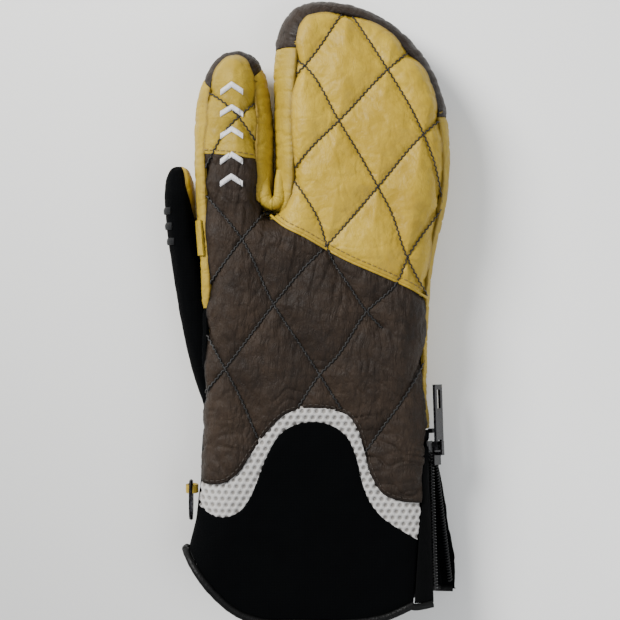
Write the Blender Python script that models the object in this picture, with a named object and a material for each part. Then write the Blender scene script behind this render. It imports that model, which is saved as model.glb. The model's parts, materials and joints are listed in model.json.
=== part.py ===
"""Three-compartment ("trigger") mitten for the right hand, back of the hand up.

Metres, +Z up, +Y towards the fingertips, +X towards the little finger.
The mitten lies palm down on z = 0 and its footprint is centred on x = y = 0.
Every piece of leather or fabric is a closed slab cut from one shared skin:
a soft edge line in plan, with a rounded upper and lower side above it.
All driving dimensions below are in millimetres.
"""
import math

import bpy
import numpy as np

for old in list(bpy.data.objects):
    bpy.data.objects.remove(old, do_unlink=True)

MM = 0.001

# ---------------------------------------------------------------- dimensions
GAP = 0.7              # clearance between neighbouring pieces
LEATHER = 1.5          # outer leather with its backing
SOFTSHELL = 1.3        # stretch fabric of the cuff and the thumb
MESH = 2.2             # spacer mesh of the wrist insert
LINING = 1.1           # fleece lining
LINING_DEPTH = 3.6     # outer skin to the outside of the lining
EDGE_RADIUS = 17.0     # plan width over which the edge rounds up to the crown
KNUCKLE_Y = 49.0       # flex line of the index finger and of the hood
KNUCKLE_Z = 18.0
FOLD_BACK = 5.5        # half length of the knuckle fold on the back
FOLD_PALM = 15.5       # the same on the palm side, where the leather bunches
SIDE_LOW = -50.0       # lower edge of the side walls, degrees below the edge line
PALM_LEFT = -26.0      # left edge of the palm panel, beside the thumb hole
CUFF_TOP = -54.0       # seam between palm and cuff on the palm side
ZIP_TOP = np.array((56.8, -62.0, 19.0))       # where the two chains meet
ZIP_BACK_END = np.array((58.8, -131.0, 22.0))
ZIP_PALM_END = np.array((65.8, -131.5, 10.0))
CHAIN_WIDTH = 2.4
CHAIN_THICK = 2.2
TAPE = 0.8
THUMB_PIVOT = (-50.0, -30.0)

# edge line from the crotch up the index finger, round its tip and down the
# thumb side to the cuff: x, y, and the width of the side wall seen from above
INDEX_EDGE = [(-19.0, 46.8, 4.0), (-17.6, 56.0, 6.2), (-16.9, 68.0, 7.0), (-16.8, 82.0, 7.2),
              (-17.6, 93.0, 7.2), (-19.3, 104.0, 6.5), (-22.0, 111.8, 5.5), (-26.5, 117.6, 4.2),
              (-32.0, 120.0, 3.4), (-38.0, 117.8, 3.4), (-43.4, 113.0, 3.6), (-48.8, 106.3, 3.6),
              (-51.5, 97.0, 4.6), (-52.8, 86.0, 6.2), (-52.9, 74.0, 4.4), (-52.4, 60.0, 4.2),
              (-51.6, 46.0, 3.8), (-50.1, 28.0, 3.4), (-48.9, 10.0, 3.0), (-48.3, -5.0, 1.0),
              (-48.6, -22.0, 0.6), (-48.8, -41.0, 0.0), (-49.6, -60.0, 0.0), (-50.8, -80.0, 0.0),
              (-53.0, -96.0, 0.0), (-56.3, -109.5, 0.0), (-59.5, -119.0, 0.0)]
# edge line from the crotch up the hood, round its tip and down the little
# finger side to the cuff
HOOD_EDGE = [(-18.4, 46.6, 4.0), (-16.2, 56.0, 5.0), (-15.9, 68.0, 6.2), (-15.9, 82.0, 6.6),
             (-16.1, 97.0, 8.0), (-16.1, 113.0, 9.6), (-15.0, 126.0, 9.4), (-11.4, 134.0, 8.2),
             (-5.1, 140.4, 7.4), (5.1, 143.0, 7.2), (16.6, 142.0, 5.6), (28.1, 138.0, 4.8),
             (39.6, 131.2, 5.2), (48.8, 122.6, 5.0), (55.7, 113.2, 4.2), (60.3, 101.9, 3.8),
             (63.2, 91.0, 3.9), (64.7, 76.0, 3.6), (64.4, 61.0, 2.6), (62.4, 46.5, 1.8),
             (58.6, 31.0, 1.6), (56.3, 17.0, 1.3), (55.4, 4.0, 1.0), (54.4, -16.0, 1.0),
             (54.4, -40.0, 1.0), (56.0, -58.0, 1.0), (58.4, -78.0, 1.0), (60.0, -100.0, 1.0),
             (60.6, -120.0, 1.0), (60.6, -142.0, 1.0)]
# seams on the back, in plan
COLOUR_SEAM = [(-17.6, 43.4), (-12.0, 38.6), (-2.0, 33.4), (7.4, 28.0), (16.6, 23.0),
               (25.8, 18.9), (35.0, 15.0), (44.0, 11.0), (54.6, 5.4)]
MESH_UPPER = [(-50.6, -78.9), (-45.5, -79.2), (-38.6, -78.2), (-32.6, -74.0), (-27.0, -66.0),
              (-21.6, -58.5), (-15.6, -51.0), (-10.5, -46.9), (-5.0, -44.9), (3.0, -44.2),
              (12.0, -45.6), (17.4, -47.6), (21.5, -53.0), (24.6, -63.0), (28.6, -76.0),
              (33.6, -83.3), (39.6, -86.0), (51.0, -87.6)]
MESH_LOWER = [(-51.9, -89.6), (-47.0, -92.2), (-42.4, -94.0), (-37.0, -94.0), (-31.7, -91.4),
              (-27.4, -86.0), (-23.6, -77.0), (-19.6, -67.0), (-14.6, -58.0), (-9.6, -53.4),
              (-3.6, -51.2), (4.6, -50.8), (11.6, -53.0), (16.6, -57.0), (20.6, -65.0),
              (23.6, -77.0), (27.6, -87.4), (33.4, -94.4), (41.0, -99.6), (49.6, -104.6)]
HEM = [(-56.3, -109.5), (-50.1, -119.1), (-42.0, -128.8), (-32.5, -136.6), (-23.0, -140.3),
       (-5.0, -141.0), (17.0, -141.0), (34.0, -138.6), (47.6, -132.6)]
ZIP_SEAM = [(52.9, -56.0), (51.9, -66.0),
            (51.0, -80.0), (51.0, -87.6), (49.6, -104.6), (47.6, -132.6)]
# thumb: y, x of its outer edge, half width, half height
THUMB = [(-44.0, -49.4, 4.0, 8.0), (-30.0, -54.0, 6.2, 10.6), (-12.0, -58.4, 7.4, 11.4),
         (6.0, -61.7, 7.9, 11.7), (26.0, -64.8, 7.7, 12.2), (44.0, -66.9, 7.0, 12.4),
         (56.0, -67.3, 6.9, 12.2), (63.0, -66.2, 5.8, 10.2), (67.2, -62.6, 2.6, 5.2)]


# ------------------------------------------------------------------- curves
def curve(points, steps=24):
    """Smooth line through a few points, as a function of 0..1 of its length."""
    p = np.array(points, float)
    seg = np.maximum(np.linalg.norm(np.diff(p[:, :2], axis=0), axis=1), 1e-6)
    knot = np.concatenate(([0.0], np.cumsum(seg)))
    slope = np.gradient(p, knot, axis=0)
    fine = np.concatenate([np.linspace(knot[i], knot[i + 1], steps, endpoint=False)
                           for i in range(len(seg))] + [[knot[-1]]])
    i = np.clip(np.searchsorted(knot, fine, side="right") - 1, 0, len(seg) - 1)
    h = (knot[i + 1] - knot[i])[:, None]
    t = ((fine - knot[i]) / h[:, 0])[:, None]
    xy = ((2 * t**3 - 3 * t**2 + 1) * p[i] + (t**3 - 2 * t**2 + t) * h * slope[i]
          + (3 * t**2 - 2 * t**3) * p[i + 1] + (t**3 - t**2) * h * slope[i + 1])
    return polyline(xy)


def polyline(xy):
    xy = np.asarray(xy, float)
    length = np.concatenate(([0.0], np.cumsum(np.linalg.norm(np.diff(xy[:, :2], axis=0), axis=1))))

    def at(t):
        q = np.clip(np.asarray(t, float), 0, 1) * length[-1]
        return np.stack([np.interp(q, length, xy[:, k]) for k in range(xy.shape[1])], -1)
    at.points = xy
    at.length = length[-1]
    at.cumulated = length / length[-1]
    return at


def cut(line, t0, t1, n=120):
    return polyline(line(np.linspace(t0, t1, n)))


def join(*lines):
    return polyline(np.concatenate([ln.points if k == 0 else ln.points[1:]
                                    for k, ln in enumerate(lines)]))


def straight(a, b):
    return polyline(np.linspace(a, b, 24))


def where_y(line, y, rising):
    """Parameter at which a line crosses a level, on its rising or falling side."""
    t = np.linspace(0, 1, 2001)
    v = line(t)[:, 1] - y
    hits = [k for k in range(2000) if v[k] * v[k + 1] <= 0 and (v[k + 1] > v[k]) == rising]
    k = hits[0] if rising else hits[-1]
    return t[k] - (t[k + 1] - t[k]) * v[k] / (v[k + 1] - v[k])


index_edge = curve(INDEX_EDGE)
hood_edge = curve(HOOD_EDGE)


def inward(line, side):
    """Line moved sideways by its own third coordinate, or by a fixed amount."""
    def moved(offset=None, n=240, t0=0.0, t1=1.0):
        t = np.linspace(t0, t1, n)
        p = line(t)
        e = 1e-3
        d = line(np.clip(t + e, 0, 1))[:, :2] - line(np.clip(t - e, 0, 1))[:, :2]
        d /= np.linalg.norm(d, axis=1)[:, None]
        normal = side * np.stack([-d[:, 1], d[:, 0]], -1)
        w = p[:, 2] if offset is None else np.full(n, float(offset))
        return polyline(p[:, :2] + normal * w[:, None])
    return moved


index_inset = inward(index_edge, 1)
hood_inset = inward(hood_edge, -1)
outline = np.concatenate((index_edge.points[::-1, :2], hood_edge.points[:, :2]))


# -------------------------------------------------------------- shared skin
def ease(v, a, b):
    t = np.clip((np.asarray(v, float) - a) / (b - a), 0, 1)
    return t * t * (3 - 2 * t)


def level(y, table):
    """Smooth value along the mitten from a few (y, value) pairs."""
    ys, vs = np.array(table, float).T
    slope = np.gradient(vs, ys)
    y = np.clip(y, ys[0], ys[-1])
    i = np.clip(np.searchsorted(ys, y, side="right") - 1, 0, len(ys) - 2)
    h = ys[i + 1] - ys[i]
    t = (y - ys[i]) / h
    return ((2 * t**3 - 3 * t**2 + 1) * vs[i] + (t**3 - 2 * t**2 + t) * h * slope[i]
            + (3 * t**2 - 2 * t**3) * vs[i + 1] + (t**3 - t**2) * h * slope[i + 1])


def thumb_side(x, y):
    """1 over the thumb, where the palm side of the hand is lifted clear of it."""
    return np.clip((PALM_LEFT - x) / 24.0, 0, 1) * \
        ease(y, -54, -36) * (1 - ease(y, 32, 56))


def crown(x, y):
    return level(y, [(-143, 29), (-100, 29.5), (-60, 32), (-10, 36.5), (50, 37.6), (100, 35.5), (143, 30)])


def edge_level(x, y):
    return level(y, [(-143, 14.5), (-60, 16), (0, 17.5), (60, 18), (143, 15)]) \
        + 9.0 * ease(-x, 10, 34) * ease(y, -56, -30) * (1 - ease(y, 30, 62))


def floor_level(x, y):
    return 24.0 * thumb_side(x, y) + 2.5 * ease(y, 50, 70) * ease(-x, 0, 24) + 0.5 * ease(y, 50, 90)


def edge_distance(xy):
    flat = xy.reshape(-1, 2)
    a, b = outline[:-1], outline[1:]
    ab = b - a
    keep = (ab ** 2).sum(1) > 1e-12
    a, ab = a[keep], ab[keep]
    out = np.empty(len(flat))
    for k in range(0, len(flat), 2000):
        q = flat[k:k + 2000, None, :]
        t = np.clip(((q - a) * ab).sum(-1) / (ab ** 2).sum(-1), 0, 1)
        out[k:k + 2000] = np.sqrt((((a + ab * t[..., None]) - q) ** 2).sum(-1).min(1))
    return out.reshape(xy.shape[:-1])


def skin(xy, upper):
    """Point of the upper or lower skin above a plan position."""
    x, y = xy[..., 0], xy[..., 1]
    k = np.sqrt(np.clip(1 - (1 - np.minimum(edge_distance(xy) / EDGE_RADIUS, 1)) ** 2, 0, 1))
    e = edge_level(x, y)
    z = e + (crown(x, y) - e) * k if upper else e - (e - floor_level(x, y)) * k
    return np.concatenate([xy, z[..., None]], -1)


# ------------------------------------------------------------------ solids
def solid(name, verts, faces):
    """Mesh object in metres with its faces turned outwards."""
    v = np.asarray(verts, float)
    volume = sum(float(np.dot(v[f[0]], np.cross(v[f[i]], v[f[i + 1]])))
                 for f in faces for i in range(1, len(f) - 1))
    if volume < 0:
        faces = [f[::-1] for f in faces]
    mesh = bpy.data.meshes.new(name)
    mesh.from_pydata([tuple(v) for v in np.asarray(verts, float) * MM], [], faces)
    mesh.validate()
    ob = bpy.data.objects.new(name, mesh)
    bpy.context.scene.collection.objects.link(ob)
    return ob


def slab(name, surface, nu, nv, near=0.0, far=LEATHER, out=1.0, margin=None, flip=False):
    """Closed slab between two depths below surface(s, t), inset by half a gap."""
    if margin is None:
        c = surface(np.array([0.0, 1.0, 0.5, 0.5]), np.array([0.5, 0.5, 0.0, 1.0]))
        m = [0.5 * GAP / max(np.linalg.norm(c[1] - c[0]), 3.0)] * 2 \
            + [0.5 * GAP / max(np.linalg.norm(c[3] - c[2]), 3.0)] * 2
    else:
        m = margin
    s, t = np.meshgrid(np.linspace(m[0], 1 - m[1], nu + 1), np.linspace(m[2], 1 - m[3], nv + 1))
    e = 1e-3
    lo_s, hi_s = np.clip(s - e, 0, 1), np.clip(s + e, 0, 1)
    lo_t, hi_t = np.clip(t - e, 0, 1), np.clip(t + e, 0, 1)
    ds = surface(hi_s, t) - surface(lo_s, t)
    dt = surface(s, hi_t) - surface(s, lo_t)
    n = np.cross(ds, dt) * out
    n /= np.maximum(np.linalg.norm(n, axis=-1), 1e-9)[..., None]
    p = surface(s, t)
    top, low = p - n * near, p - n * far
    w, h = nu + 1, nv + 1
    verts = np.concatenate((top.reshape(-1, 3), low.reshape(-1, 3)))
    k = w * h
    faces = []
    for j in range(nv):
        for i in range(nu):
            a, b, c, d = j * w + i, j * w + i + 1, (j + 1) * w + i + 1, (j + 1) * w + i
            faces += [(a, b, c), (a, c, d), (k + a, k + c, k + b), (k + a, k + d, k + c)]
    ring = [i for i in range(w)] + [j * w + w - 1 for j in range(1, h)] \
        + [(h - 1) * w + i for i in range(w - 2, -1, -1)] + [j * w for j in range(h - 2, 0, -1)]
    for a, b in zip(ring, ring[1:] + ring[:1]):
        faces += [(a, k + a, k + b), (a, k + b, b)]
    if out < 0:
        faces = [f[::-1] for f in faces]
    return solid(name, verts, faces)


def coons(left, right, bottom, top):
    def plan(s, t):
        a, b = s[..., None], t[..., None]
        b0, b1, t0, t1 = bottom(0.0), bottom(1.0), top(0.0), top(1.0)
        return ((1 - a) * left(t)[..., :2] + a * right(t)[..., :2] + (1 - b) * bottom(s)[..., :2]
                + b * top(s)[..., :2] - (1 - a) * (1 - b) * b0[:2] - a * (1 - b) * b1[:2]
                - (1 - a) * b * t0[:2] - a * b * t1[:2])
    return plan


def round_in(v, width, low, high):
    """Spread samples evenly over the rounded edge at either end of a panel."""
    r = EDGE_RADIUS / width
    arc = math.pi / 2
    a = arc * r if low else 0.0
    b = arc * r if high else 0.0
    flat = max(1.0 - (r if low else 0) - (r if high else 0), 0.02)
    total = a + flat + b
    q = np.asarray(v, float) * total
    out = (r if low else 0.0) + (q - a)
    if low:
        out = np.where(q < a, r * (1 - np.cos(np.clip(q / r, 0, arc))), out)
    if high:
        back = total - q
        out = np.where(back < b, 1 - r * (1 - np.cos(np.clip(back / r, 0, arc))), out)
    return np.clip(out, 0, 1)


def panel(name, left, right, bottom, top, nu, nv, upper=True, wrap=(0, 0, 0, 0), **kw):
    plan = coons(left, right, bottom, top)
    wide = np.linalg.norm(left(0.5)[:2] - right(0.5)[:2])
    high = np.linalg.norm(bottom(0.5)[:2] - top(0.5)[:2])

    def surface(s, t):
        s2 = round_in(s, wide, wrap[0], wrap[1])
        t2 = round_in(t, high, wrap[2], wrap[3])
        return skin(plan(s2, t2), upper)
    return slab(name, surface, nu, nv, out=1.0 if upper else -1.0, **kw)


def side_wall(name, edge, side, t0, t1, nu, nv, skew0=0.0, skew1=0.0, low=SIDE_LOW, **kw):
    """Strip from the back seam over the edge line down to the palm seam."""
    def surface(s, t):
        turn = np.radians(low) * (1 - t)
        base = edge(t0 + (t1 - t0) * s)
        top_turn = np.arccos(np.clip(1 - base[..., 2] / EDGE_RADIUS, -1, 1))
        turn = np.radians(low) + (top_turn - np.radians(low)) * t
        under = np.clip(turn / math.radians(SIDE_LOW), 0, 1)
        q = t0 + skew0 * under + (t1 - t0 + (skew1 - skew0) * under) * s
        p = edge(q)
        e = 1e-3
        d = edge(np.clip(q + e, 0, 1))[..., :2] - edge(np.clip(q - e, 0, 1))[..., :2]
        d /= np.linalg.norm(d, axis=-1)[..., None]
        normal = side * np.stack([-d[..., 1], d[..., 0]], -1)
        xy = p[..., :2] + normal * (EDGE_RADIUS * (1 - np.cos(turn)))[..., None]
        x, y = xy[..., 0], xy[..., 1]
        e0 = edge_level(x, y)
        z = np.where(turn > 0, e0 + (crown(x, y) - e0) * np.sin(turn),
                     e0 + (e0 - floor_level(x, y)) * np.sin(turn))
        return np.concatenate([xy, z[..., None]], -1)
    return slab(name, surface, nu, nv, out=side, **kw)


def sweep(name, path, section, closed=False):
    """Rigid bar: a section (n x 2) carried along points with fixed frames."""
    rings = []
    for point, u, v in path:
        rings.append([np.array(point) + a * np.array(u) + b * np.array(v) for a, b in section])
    n = len(section)
    verts = [p for r in rings for p in r]
    faces = []
    count = len(rings)
    for k in range(count if closed else count - 1):
        a0, b0 = k * n, ((k + 1) % count) * n
        for i in range(n):
            j = (i + 1) % n
            faces += [(a0 + i, a0 + j, b0 + j), (a0 + i, b0 + j, b0 + i)]
    if not closed:
        faces.append(tuple(range(n - 1, -1, -1)))
        faces.append(tuple((count - 1) * n + i for i in range(n)))
    return solid(name, verts, faces)


def disc(n, rx, ry=None, turn=0.0):
    ry = rx if ry is None else ry
    return [(rx * math.cos(turn + 2 * math.pi * k / n), ry * math.sin(turn + 2 * math.pi * k / n))
            for k in range(n)]


# ------------------------------------------------------- edge line stations
index_length, hood_length = index_edge.length, hood_edge.length
ix_right_knuckle = where_y(index_edge, KNUCKLE_Y + FOLD_BACK, True)
ix_right_tip = where_y(index_edge, 106.0, True)
ix_left_tip = where_y(index_edge, 104.5, False)
ix_left_knuckle = where_y(index_edge, KNUCKLE_Y + FOLD_BACK, False)
ix_hand_top = where_y(index_edge, KNUCKLE_Y - FOLD_BACK, False)
ix_hand_low = where_y(index_edge, -27.0, False)
hd_left_knuckle = where_y(hood_edge, KNUCKLE_Y + FOLD_BACK, True)
hd_left_tip = where_y(hood_edge, 120.0, True)
hd_right_tip = where_y(hood_edge, 89.0, False)
hd_right_knuckle = where_y(hood_edge, KNUCKLE_Y + FOLD_BACK, False)
hd_hand_top = where_y(hood_edge, KNUCKLE_Y - FOLD_BACK, False)
hd_hand_low = where_y(hood_edge, CUFF_TOP, False)
reach = FOLD_PALM - FOLD_BACK

index_seam = index_inset()
hood_seam = hood_inset()
low_inset = EDGE_RADIUS * (1 - math.cos(math.radians(-SIDE_LOW)))
index_low = index_inset(low_inset)
hood_low = hood_inset(low_inset)


def run(line, level0, level1, rising):
    """Part of a line between two y levels, always returned bottom to top."""
    a, b = where_y(line, level0, rising), where_y(line, level1, rising)
    return cut(line, a, b)


def tip(line, level_left, level_right, left_first):
    """Part of a line that runs over the fingertip, left to right."""
    if left_first:
        return cut(line, where_y(line, level_left, True), where_y(line, level_right, False))
    return cut(line, where_y(line, level_left, False), where_y(line, level_right, True))


# ------------------------------------------------------------ index finger
k_up, k_dn = KNUCKLE_Y + FOLD_BACK, KNUCKLE_Y - FOLD_BACK
p_up, p_dn = KNUCKLE_Y + FOLD_PALM, KNUCKLE_Y - FOLD_PALM
left_run = run(index_seam, k_up, 70.6, False)
right_run = run(index_seam, k_up, 69.4, True)
panel("index_back_lower", left_run, right_run,
      straight(left_run(0)[:2], right_run(0)[:2]), straight(left_run(1)[:2], right_run(1)[:2]), 8, 3)
left_run = run(index_seam, 70.6, 103.0, False)
right_run = run(index_seam, 69.4, 104.0, True)
panel("index_back_upper", left_run, right_run,
      straight(left_run(0)[:2], right_run(0)[:2]), tip(index_seam, 103.0, 104.0, False), 8, 5)
side_wall("index_inner_sidewall", index_edge, 1, ix_right_knuckle, ix_right_tip, 6, 4,
          skew0=reach / index_length)
side_wall("index_tip_cap", index_edge, 1, ix_right_tip, ix_left_tip, 11, 4)
side_wall("index_outer_sidewall", index_edge, 1, ix_left_tip, ix_left_knuckle, 6, 4,
          skew1=-reach / index_length)
low_left, low_right = run(index_low, p_up, 100.0, False), run(index_low, p_up, 102.0, True)
panel("index_palm_panel", low_left, low_right, straight(low_left(0)[:2], low_right(0)[:2]),
      tip(index_low, 100.0, 102.0, False), 6, 5, upper=False)

# -------------------------------------------------------------------- hood
left_run, right_run = run(hood_seam, k_up, 121.0, True), run(hood_seam, k_up, 90.0, False)
panel("hood_back_panel", left_run, right_run, straight(left_run(0)[:2], right_run(0)[:2]),
      tip(hood_seam, 121.0, 90.0, True), 11, 8)
side_wall("hood_inner_sidewall", hood_edge, -1, hd_left_knuckle, hd_left_tip, 7, 4,
          skew0=reach / hood_length)
side_wall("hood_tip_cap", hood_edge, -1, hd_left_tip, hd_right_tip, 16, 4)
side_wall("hood_outer_sidewall", hood_edge, -1, hd_right_tip, hd_right_knuckle, 5, 4,
          skew1=-reach / hood_length)
low_left, low_right = run(hood_low, p_up, 114.0, True), run(hood_low, p_up, 88.0, False)
panel("hood_palm_panel", low_left, low_right, straight(low_left(0)[:2], low_right(0)[:2]),
      tip(hood_low, 114.0, 88.0, True), 9, 6, upper=False)


# ----------------------------------------------------------- knuckle folds
def fold(name, x_low, x_high, open_at, nu, nv):
    """Soft wrap over back, outer edge and palm between hand and finger."""
    sign = 1.0 if open_at == "low" else -1.0

    def surface(s, t):
        over = s < 0.5
        v = np.where(over, s * 2, (1 - s) * 2)          # 0 open side .. 1 outer edge
        lo, hi = x_low(np.full(s.shape, KNUCKLE_Y + 9.0)), x_high(np.full(s.shape, KNUCKLE_Y + 9.0))
        f = round_in(v, 40.0, False, True)
        inset = np.minimum((1 - f) * (hi - lo), f * (hi - lo) + 1.0)
        under = np.arccos(np.clip(1 - inset / EDGE_RADIUS, 0, 1)) / math.radians(-SIDE_LOW)
        half = np.where(over, FOLD_BACK, FOLD_BACK + reach * np.clip(under, 0, 1)) - 0.1
        y = KNUCKLE_Y + half * (2 * t - 1)
        lo, hi = x_low(y), x_high(y)
        start, stop = (lo, hi) if open_at == "low" else (hi, lo)
        x = start + (stop - start) * f
        xy = np.stack([x, y], -1)
        a, b = skin(xy, True), skin(xy, False)
        return np.where(over[..., None], a, b)
    return slab(name, surface, nu, nv, out=sign, margin=(0.0, 0.0, 0.045, 0.045))


left_edge = run(index_edge, -100.0, 100.0, False)
right_edge = run(hood_edge, -100.0, 85.0, False)
inner_index = run(index_edge, 50.0, 100.0, True)
inner_hood = run(hood_edge, 50.0, 100.0, True)


def x_on(line):
    pts = line.points[np.argsort(line.points[:, 1])]
    return lambda y: np.interp(y, pts[:, 1], pts[:, 0])


split = -17.9
fold("index_knuckle_fold", x_on(left_edge),
     lambda y: np.where(y > 50, x_on(inner_index)(y) - 1.2, split - 0.6), "high", 20, 3)
fold("hood_knuckle_fold", lambda y: np.where(y > 50, x_on(inner_hood)(y) + 1.2, split + 0.6),
     x_on(right_edge), "low", 26, 3)

# -------------------------------------------------------------- hand, back
seam_line = curve(COLOUR_SEAM)
mesh_up, mesh_lo = curve(MESH_UPPER), curve(MESH_LOWER)
hem = curve(HEM)
zip_seam = join(polyline(run(hood_seam, -52.0, 5.4, False).points[::-1]), curve(ZIP_SEAM))
z_mesh_up, z_mesh_lo = where_y(zip_seam, -87.6, False), where_y(zip_seam, -104.6, False)
hand_left = join(run(index_seam, -78.9, k_dn, False))
top_line = join(straight(hand_left(1)[:2], (split, k_dn)), seam_line)
right_line = polyline(cut(zip_seam, 0, z_mesh_up).points[::-1])
hand_left = polyline(np.concatenate(([mesh_up(0)], hand_left.points[1:])))
panel("brown_back_panel", hand_left, right_line, mesh_up, top_line, 18, 10, wrap=(1, 0, 0, 0),
      margin=(0.0035, 0.0035, 0.005, 0.004))
tan_right = run(hood_seam, 6.2, k_dn, False)
panel("tan_knuckle_panel", straight((-15.2, 42.0), (-14.4, k_dn)), tan_right,
      join(straight((-15.2, 42.0), (-12.0, 39.4)), cut(seam_line, 0.1, 0.985)),
      straight((-14.4, k_dn), tan_right(1)[:2]), 11, 5, margin=(0.01, 0.005, 0.03, 0.012))
side_wall("thumb_side_strip", index_edge, 1, ix_hand_top, ix_hand_low, 8, 4,
          skew0=reach / index_length)
side_wall("little_finger_side_strip", hood_edge, -1, hd_hand_top, hd_hand_low, 9, 4,
          skew0=reach / hood_length)
mesh_left = polyline([mesh_lo(0), mesh_up(0)])
mesh_right = polyline(cut(zip_seam, z_mesh_up, z_mesh_lo).points[::-1])
panel("wrist_mesh_insert", mesh_left, mesh_right, mesh_lo, mesh_up, 18, 2, far=MESH,
      wrap=(1, 0, 0, 0), margin=(0.0035, 0.0035, 0.05, 0.06))
cuff_left = run(index_seam, -108.6, -89.6, False)
cuff_left = polyline(np.concatenate(([hem(0)], cuff_left.points[1:-1], [mesh_lo(0)])))
cuff_right = polyline(cut(zip_seam, z_mesh_lo, 1).points[::-1])
panel("cuff_back_panel", cuff_left, cuff_right, hem, mesh_lo, 18, 6, far=SOFTSHELL,
      wrap=(1, 0, 0, 0), margin=(0.0035, 0.0035, 0.004, 0.008))

# -------------------------------------------------------------- hand, palm
palm_right = run(hood_low, CUFF_TOP, p_dn, False)
panel("palm_panel", straight((PALM_LEFT, CUFF_TOP), (PALM_LEFT, p_dn)), palm_right,
      straight((PALM_LEFT, CUFF_TOP), palm_right(0)[:2]), straight((PALM_LEFT, p_dn), palm_right(1)[:2]),
      9, 7, upper=False)
ramp_left = run(index_low, 4.0, p_dn, False)
panel("thumb_fourchette", ramp_left, straight((PALM_LEFT, 4.0), (PALM_LEFT, p_dn)),
      straight(ramp_left(0)[:2], (PALM_LEFT, 4.0)), straight(ramp_left(1)[:2], (PALM_LEFT, p_dn)),
      6, 4, upper=False, margin=(0.03, 0.04, 0.01, 0.01))
palm_cuff_left = run(index_edge, -109.0, CUFF_TOP, False)
palm_cuff_right = curve([(56.0, -130.5), (55.4, -110.0), (54.2, -80.0), (52.2, CUFF_TOP)])
palm_hem = curve([(palm_cuff_left(0)[0], -109.0), (-50.0, -118.0), (-42.0, -127.4), (-32.5, -134.8),
                  (-23.0, -138.2), (-5.0, -139.0), (17.0, -139.0), (36.0, -136.4), (56.0, -130.5)])
palm_cuff_right = polyline(palm_cuff_right.points)
panel("cuff_palm_panel", palm_cuff_left, palm_cuff_right, palm_hem,
      straight(palm_cuff_left(1)[:2], palm_cuff_right(1)[:2]), 13, 6, upper=False,
      wrap=(1, 0, 0, 0), margin=(0.012, 0.004, 0.004, 0.012), far=SOFTSHELL)


def hem_strip(name, line, upper, reach_out, nu):
    """Binding that closes the raw edge of the cuff, just past the panel."""
    def surface(s, t):
        p = line(0.012 + 0.978 * s)
        e = 1e-3
        d = line(np.clip(s + e, 0, 1))[..., :2] - line(np.clip(s - e, 0, 1))[..., :2]
        d /= np.linalg.norm(d, axis=-1)[..., None]
        outwards = np.stack([d[..., 1], -d[..., 0]], -1)
        q = p[..., :2] + outwards * (0.3 + reach_out * (1 - t))[..., None]
        z = skin(p[..., :2], upper)[..., 2]
        return np.concatenate([q, z[..., None]], -1)
    return slab(name, surface, nu, 1, near=-0.5 if upper else 0.0, far=1.9 if upper else 1.9,
                out=1.0 if upper else -1.0, margin=(0.0, 0.0, 0.0, 0.0))


hem_strip("hem_binding_back", hem, True, 2.6, 16)
hem_strip("hem_binding_palm", palm_hem, False, 2.6, 14)


# ----------------------------------------------------------------- linings
def lining(name, left, right, bottom, top, nu, nv, upper, wrap, margin):
    deep = LINING_DEPTH + (0.5 if name.startswith("index") else 0.0)
    panel(name, left, right, bottom, top, nu, nv, upper=upper, wrap=wrap, near=deep,
          far=deep + LINING, margin=margin)


def cross(left, right):
    return straight(left(0)[:2], right(0)[:2]), straight(left(1)[:2], right(1)[:2])


for finger, upper, base in (("index", True, k_up + 1.5), ("index", False, p_up + 1.5),
                            ("hood", True, k_up + 1.5), ("hood", False, p_up + 1.5)):
    edge, is_index = (index_edge, True) if finger == "index" else (hood_edge, False)
    l_tip, r_tip = (98.0, 100.0) if is_index else (116.0, 96.0)
    left = run(edge, base, l_tip, not is_index)
    right = run(edge, base, r_tip, is_index)
    over = tip(edge, l_tip, r_tip, not is_index)
    lining(f"{finger}_lining_{'back' if upper else 'palm'}", left, right,
           straight(left(0)[:2], right(0)[:2]), over, 7, 6, upper,
           (1, 1, 0, 1), (0.035, 0.035, 0.0, 0.035))


def beside_zip(line):
    """Edge line drawn in along the zip, so the lining clears the gusset."""
    p = line.points.copy()[:, :2]
    p[:, 0] -= 9.0 * ease(-p[:, 1], 46.0, 64.0)
    return polyline(p)


left, right = run(index_edge, -96.0, k_dn - 2, False), beside_zip(run(hood_edge, -96.0, k_dn - 2, False))
lining("hand_lining_back", left, right, *cross(left, right), 10, 7, True, (1, 1, 0, 0),
       (0.03, 0.02, 0.0, 0.0))
left = straight((PALM_LEFT, -96.0), (PALM_LEFT, p_dn - 2))
right = beside_zip(run(hood_edge, -96.0, p_dn - 2, False))
lining("hand_lining_palm", left, right, *cross(left, right), 8, 6, False, (0, 1, 0, 0),
       (0.0, 0.03, 0.0, 0.0))

# ------------------------------------------------------------------- thumb
t_table = np.array(THUMB)


def thumb_at(y):
    x_out = level(y, t_table[:, (0, 1)])
    a, b = level(y, t_table[:, (0, 2)]), level(y, t_table[:, (0, 3)])
    return x_out + a, a, b


def thumb_skin(y, turn):
    """Point on the thumb at a station and an angle (0 = index side, 90 = up)."""
    cx, a, b = thumb_at(y)
    c, s = np.cos(turn), np.sin(turn)
    return np.stack([cx + a * np.sign(c) * np.abs(c) ** 0.86, y,
                     b + 0.15 + b * np.sign(s) * np.abs(s) ** 0.86], -1)


def thumb_slab(name, turn0, turn1, y0, y1, nu, nv, near=0.0, far=SOFTSHELL, skew=0.0, **kw):
    def surface(s, t):
        turn = np.radians(turn0 + (turn1 - turn0) * s)
        low = y0 + skew * ease(np.cos(turn), 0.0, 0.8)
        y = y1 - (y1 - low) * (1 - np.sin(np.pi / 2 * t)) if y1 > 60 else low + (y1 - low) * t
        return thumb_skin(y, turn)
    return slab(name, surface, nu, nv, near=near, far=far, out=-1.0, **kw)


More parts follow.
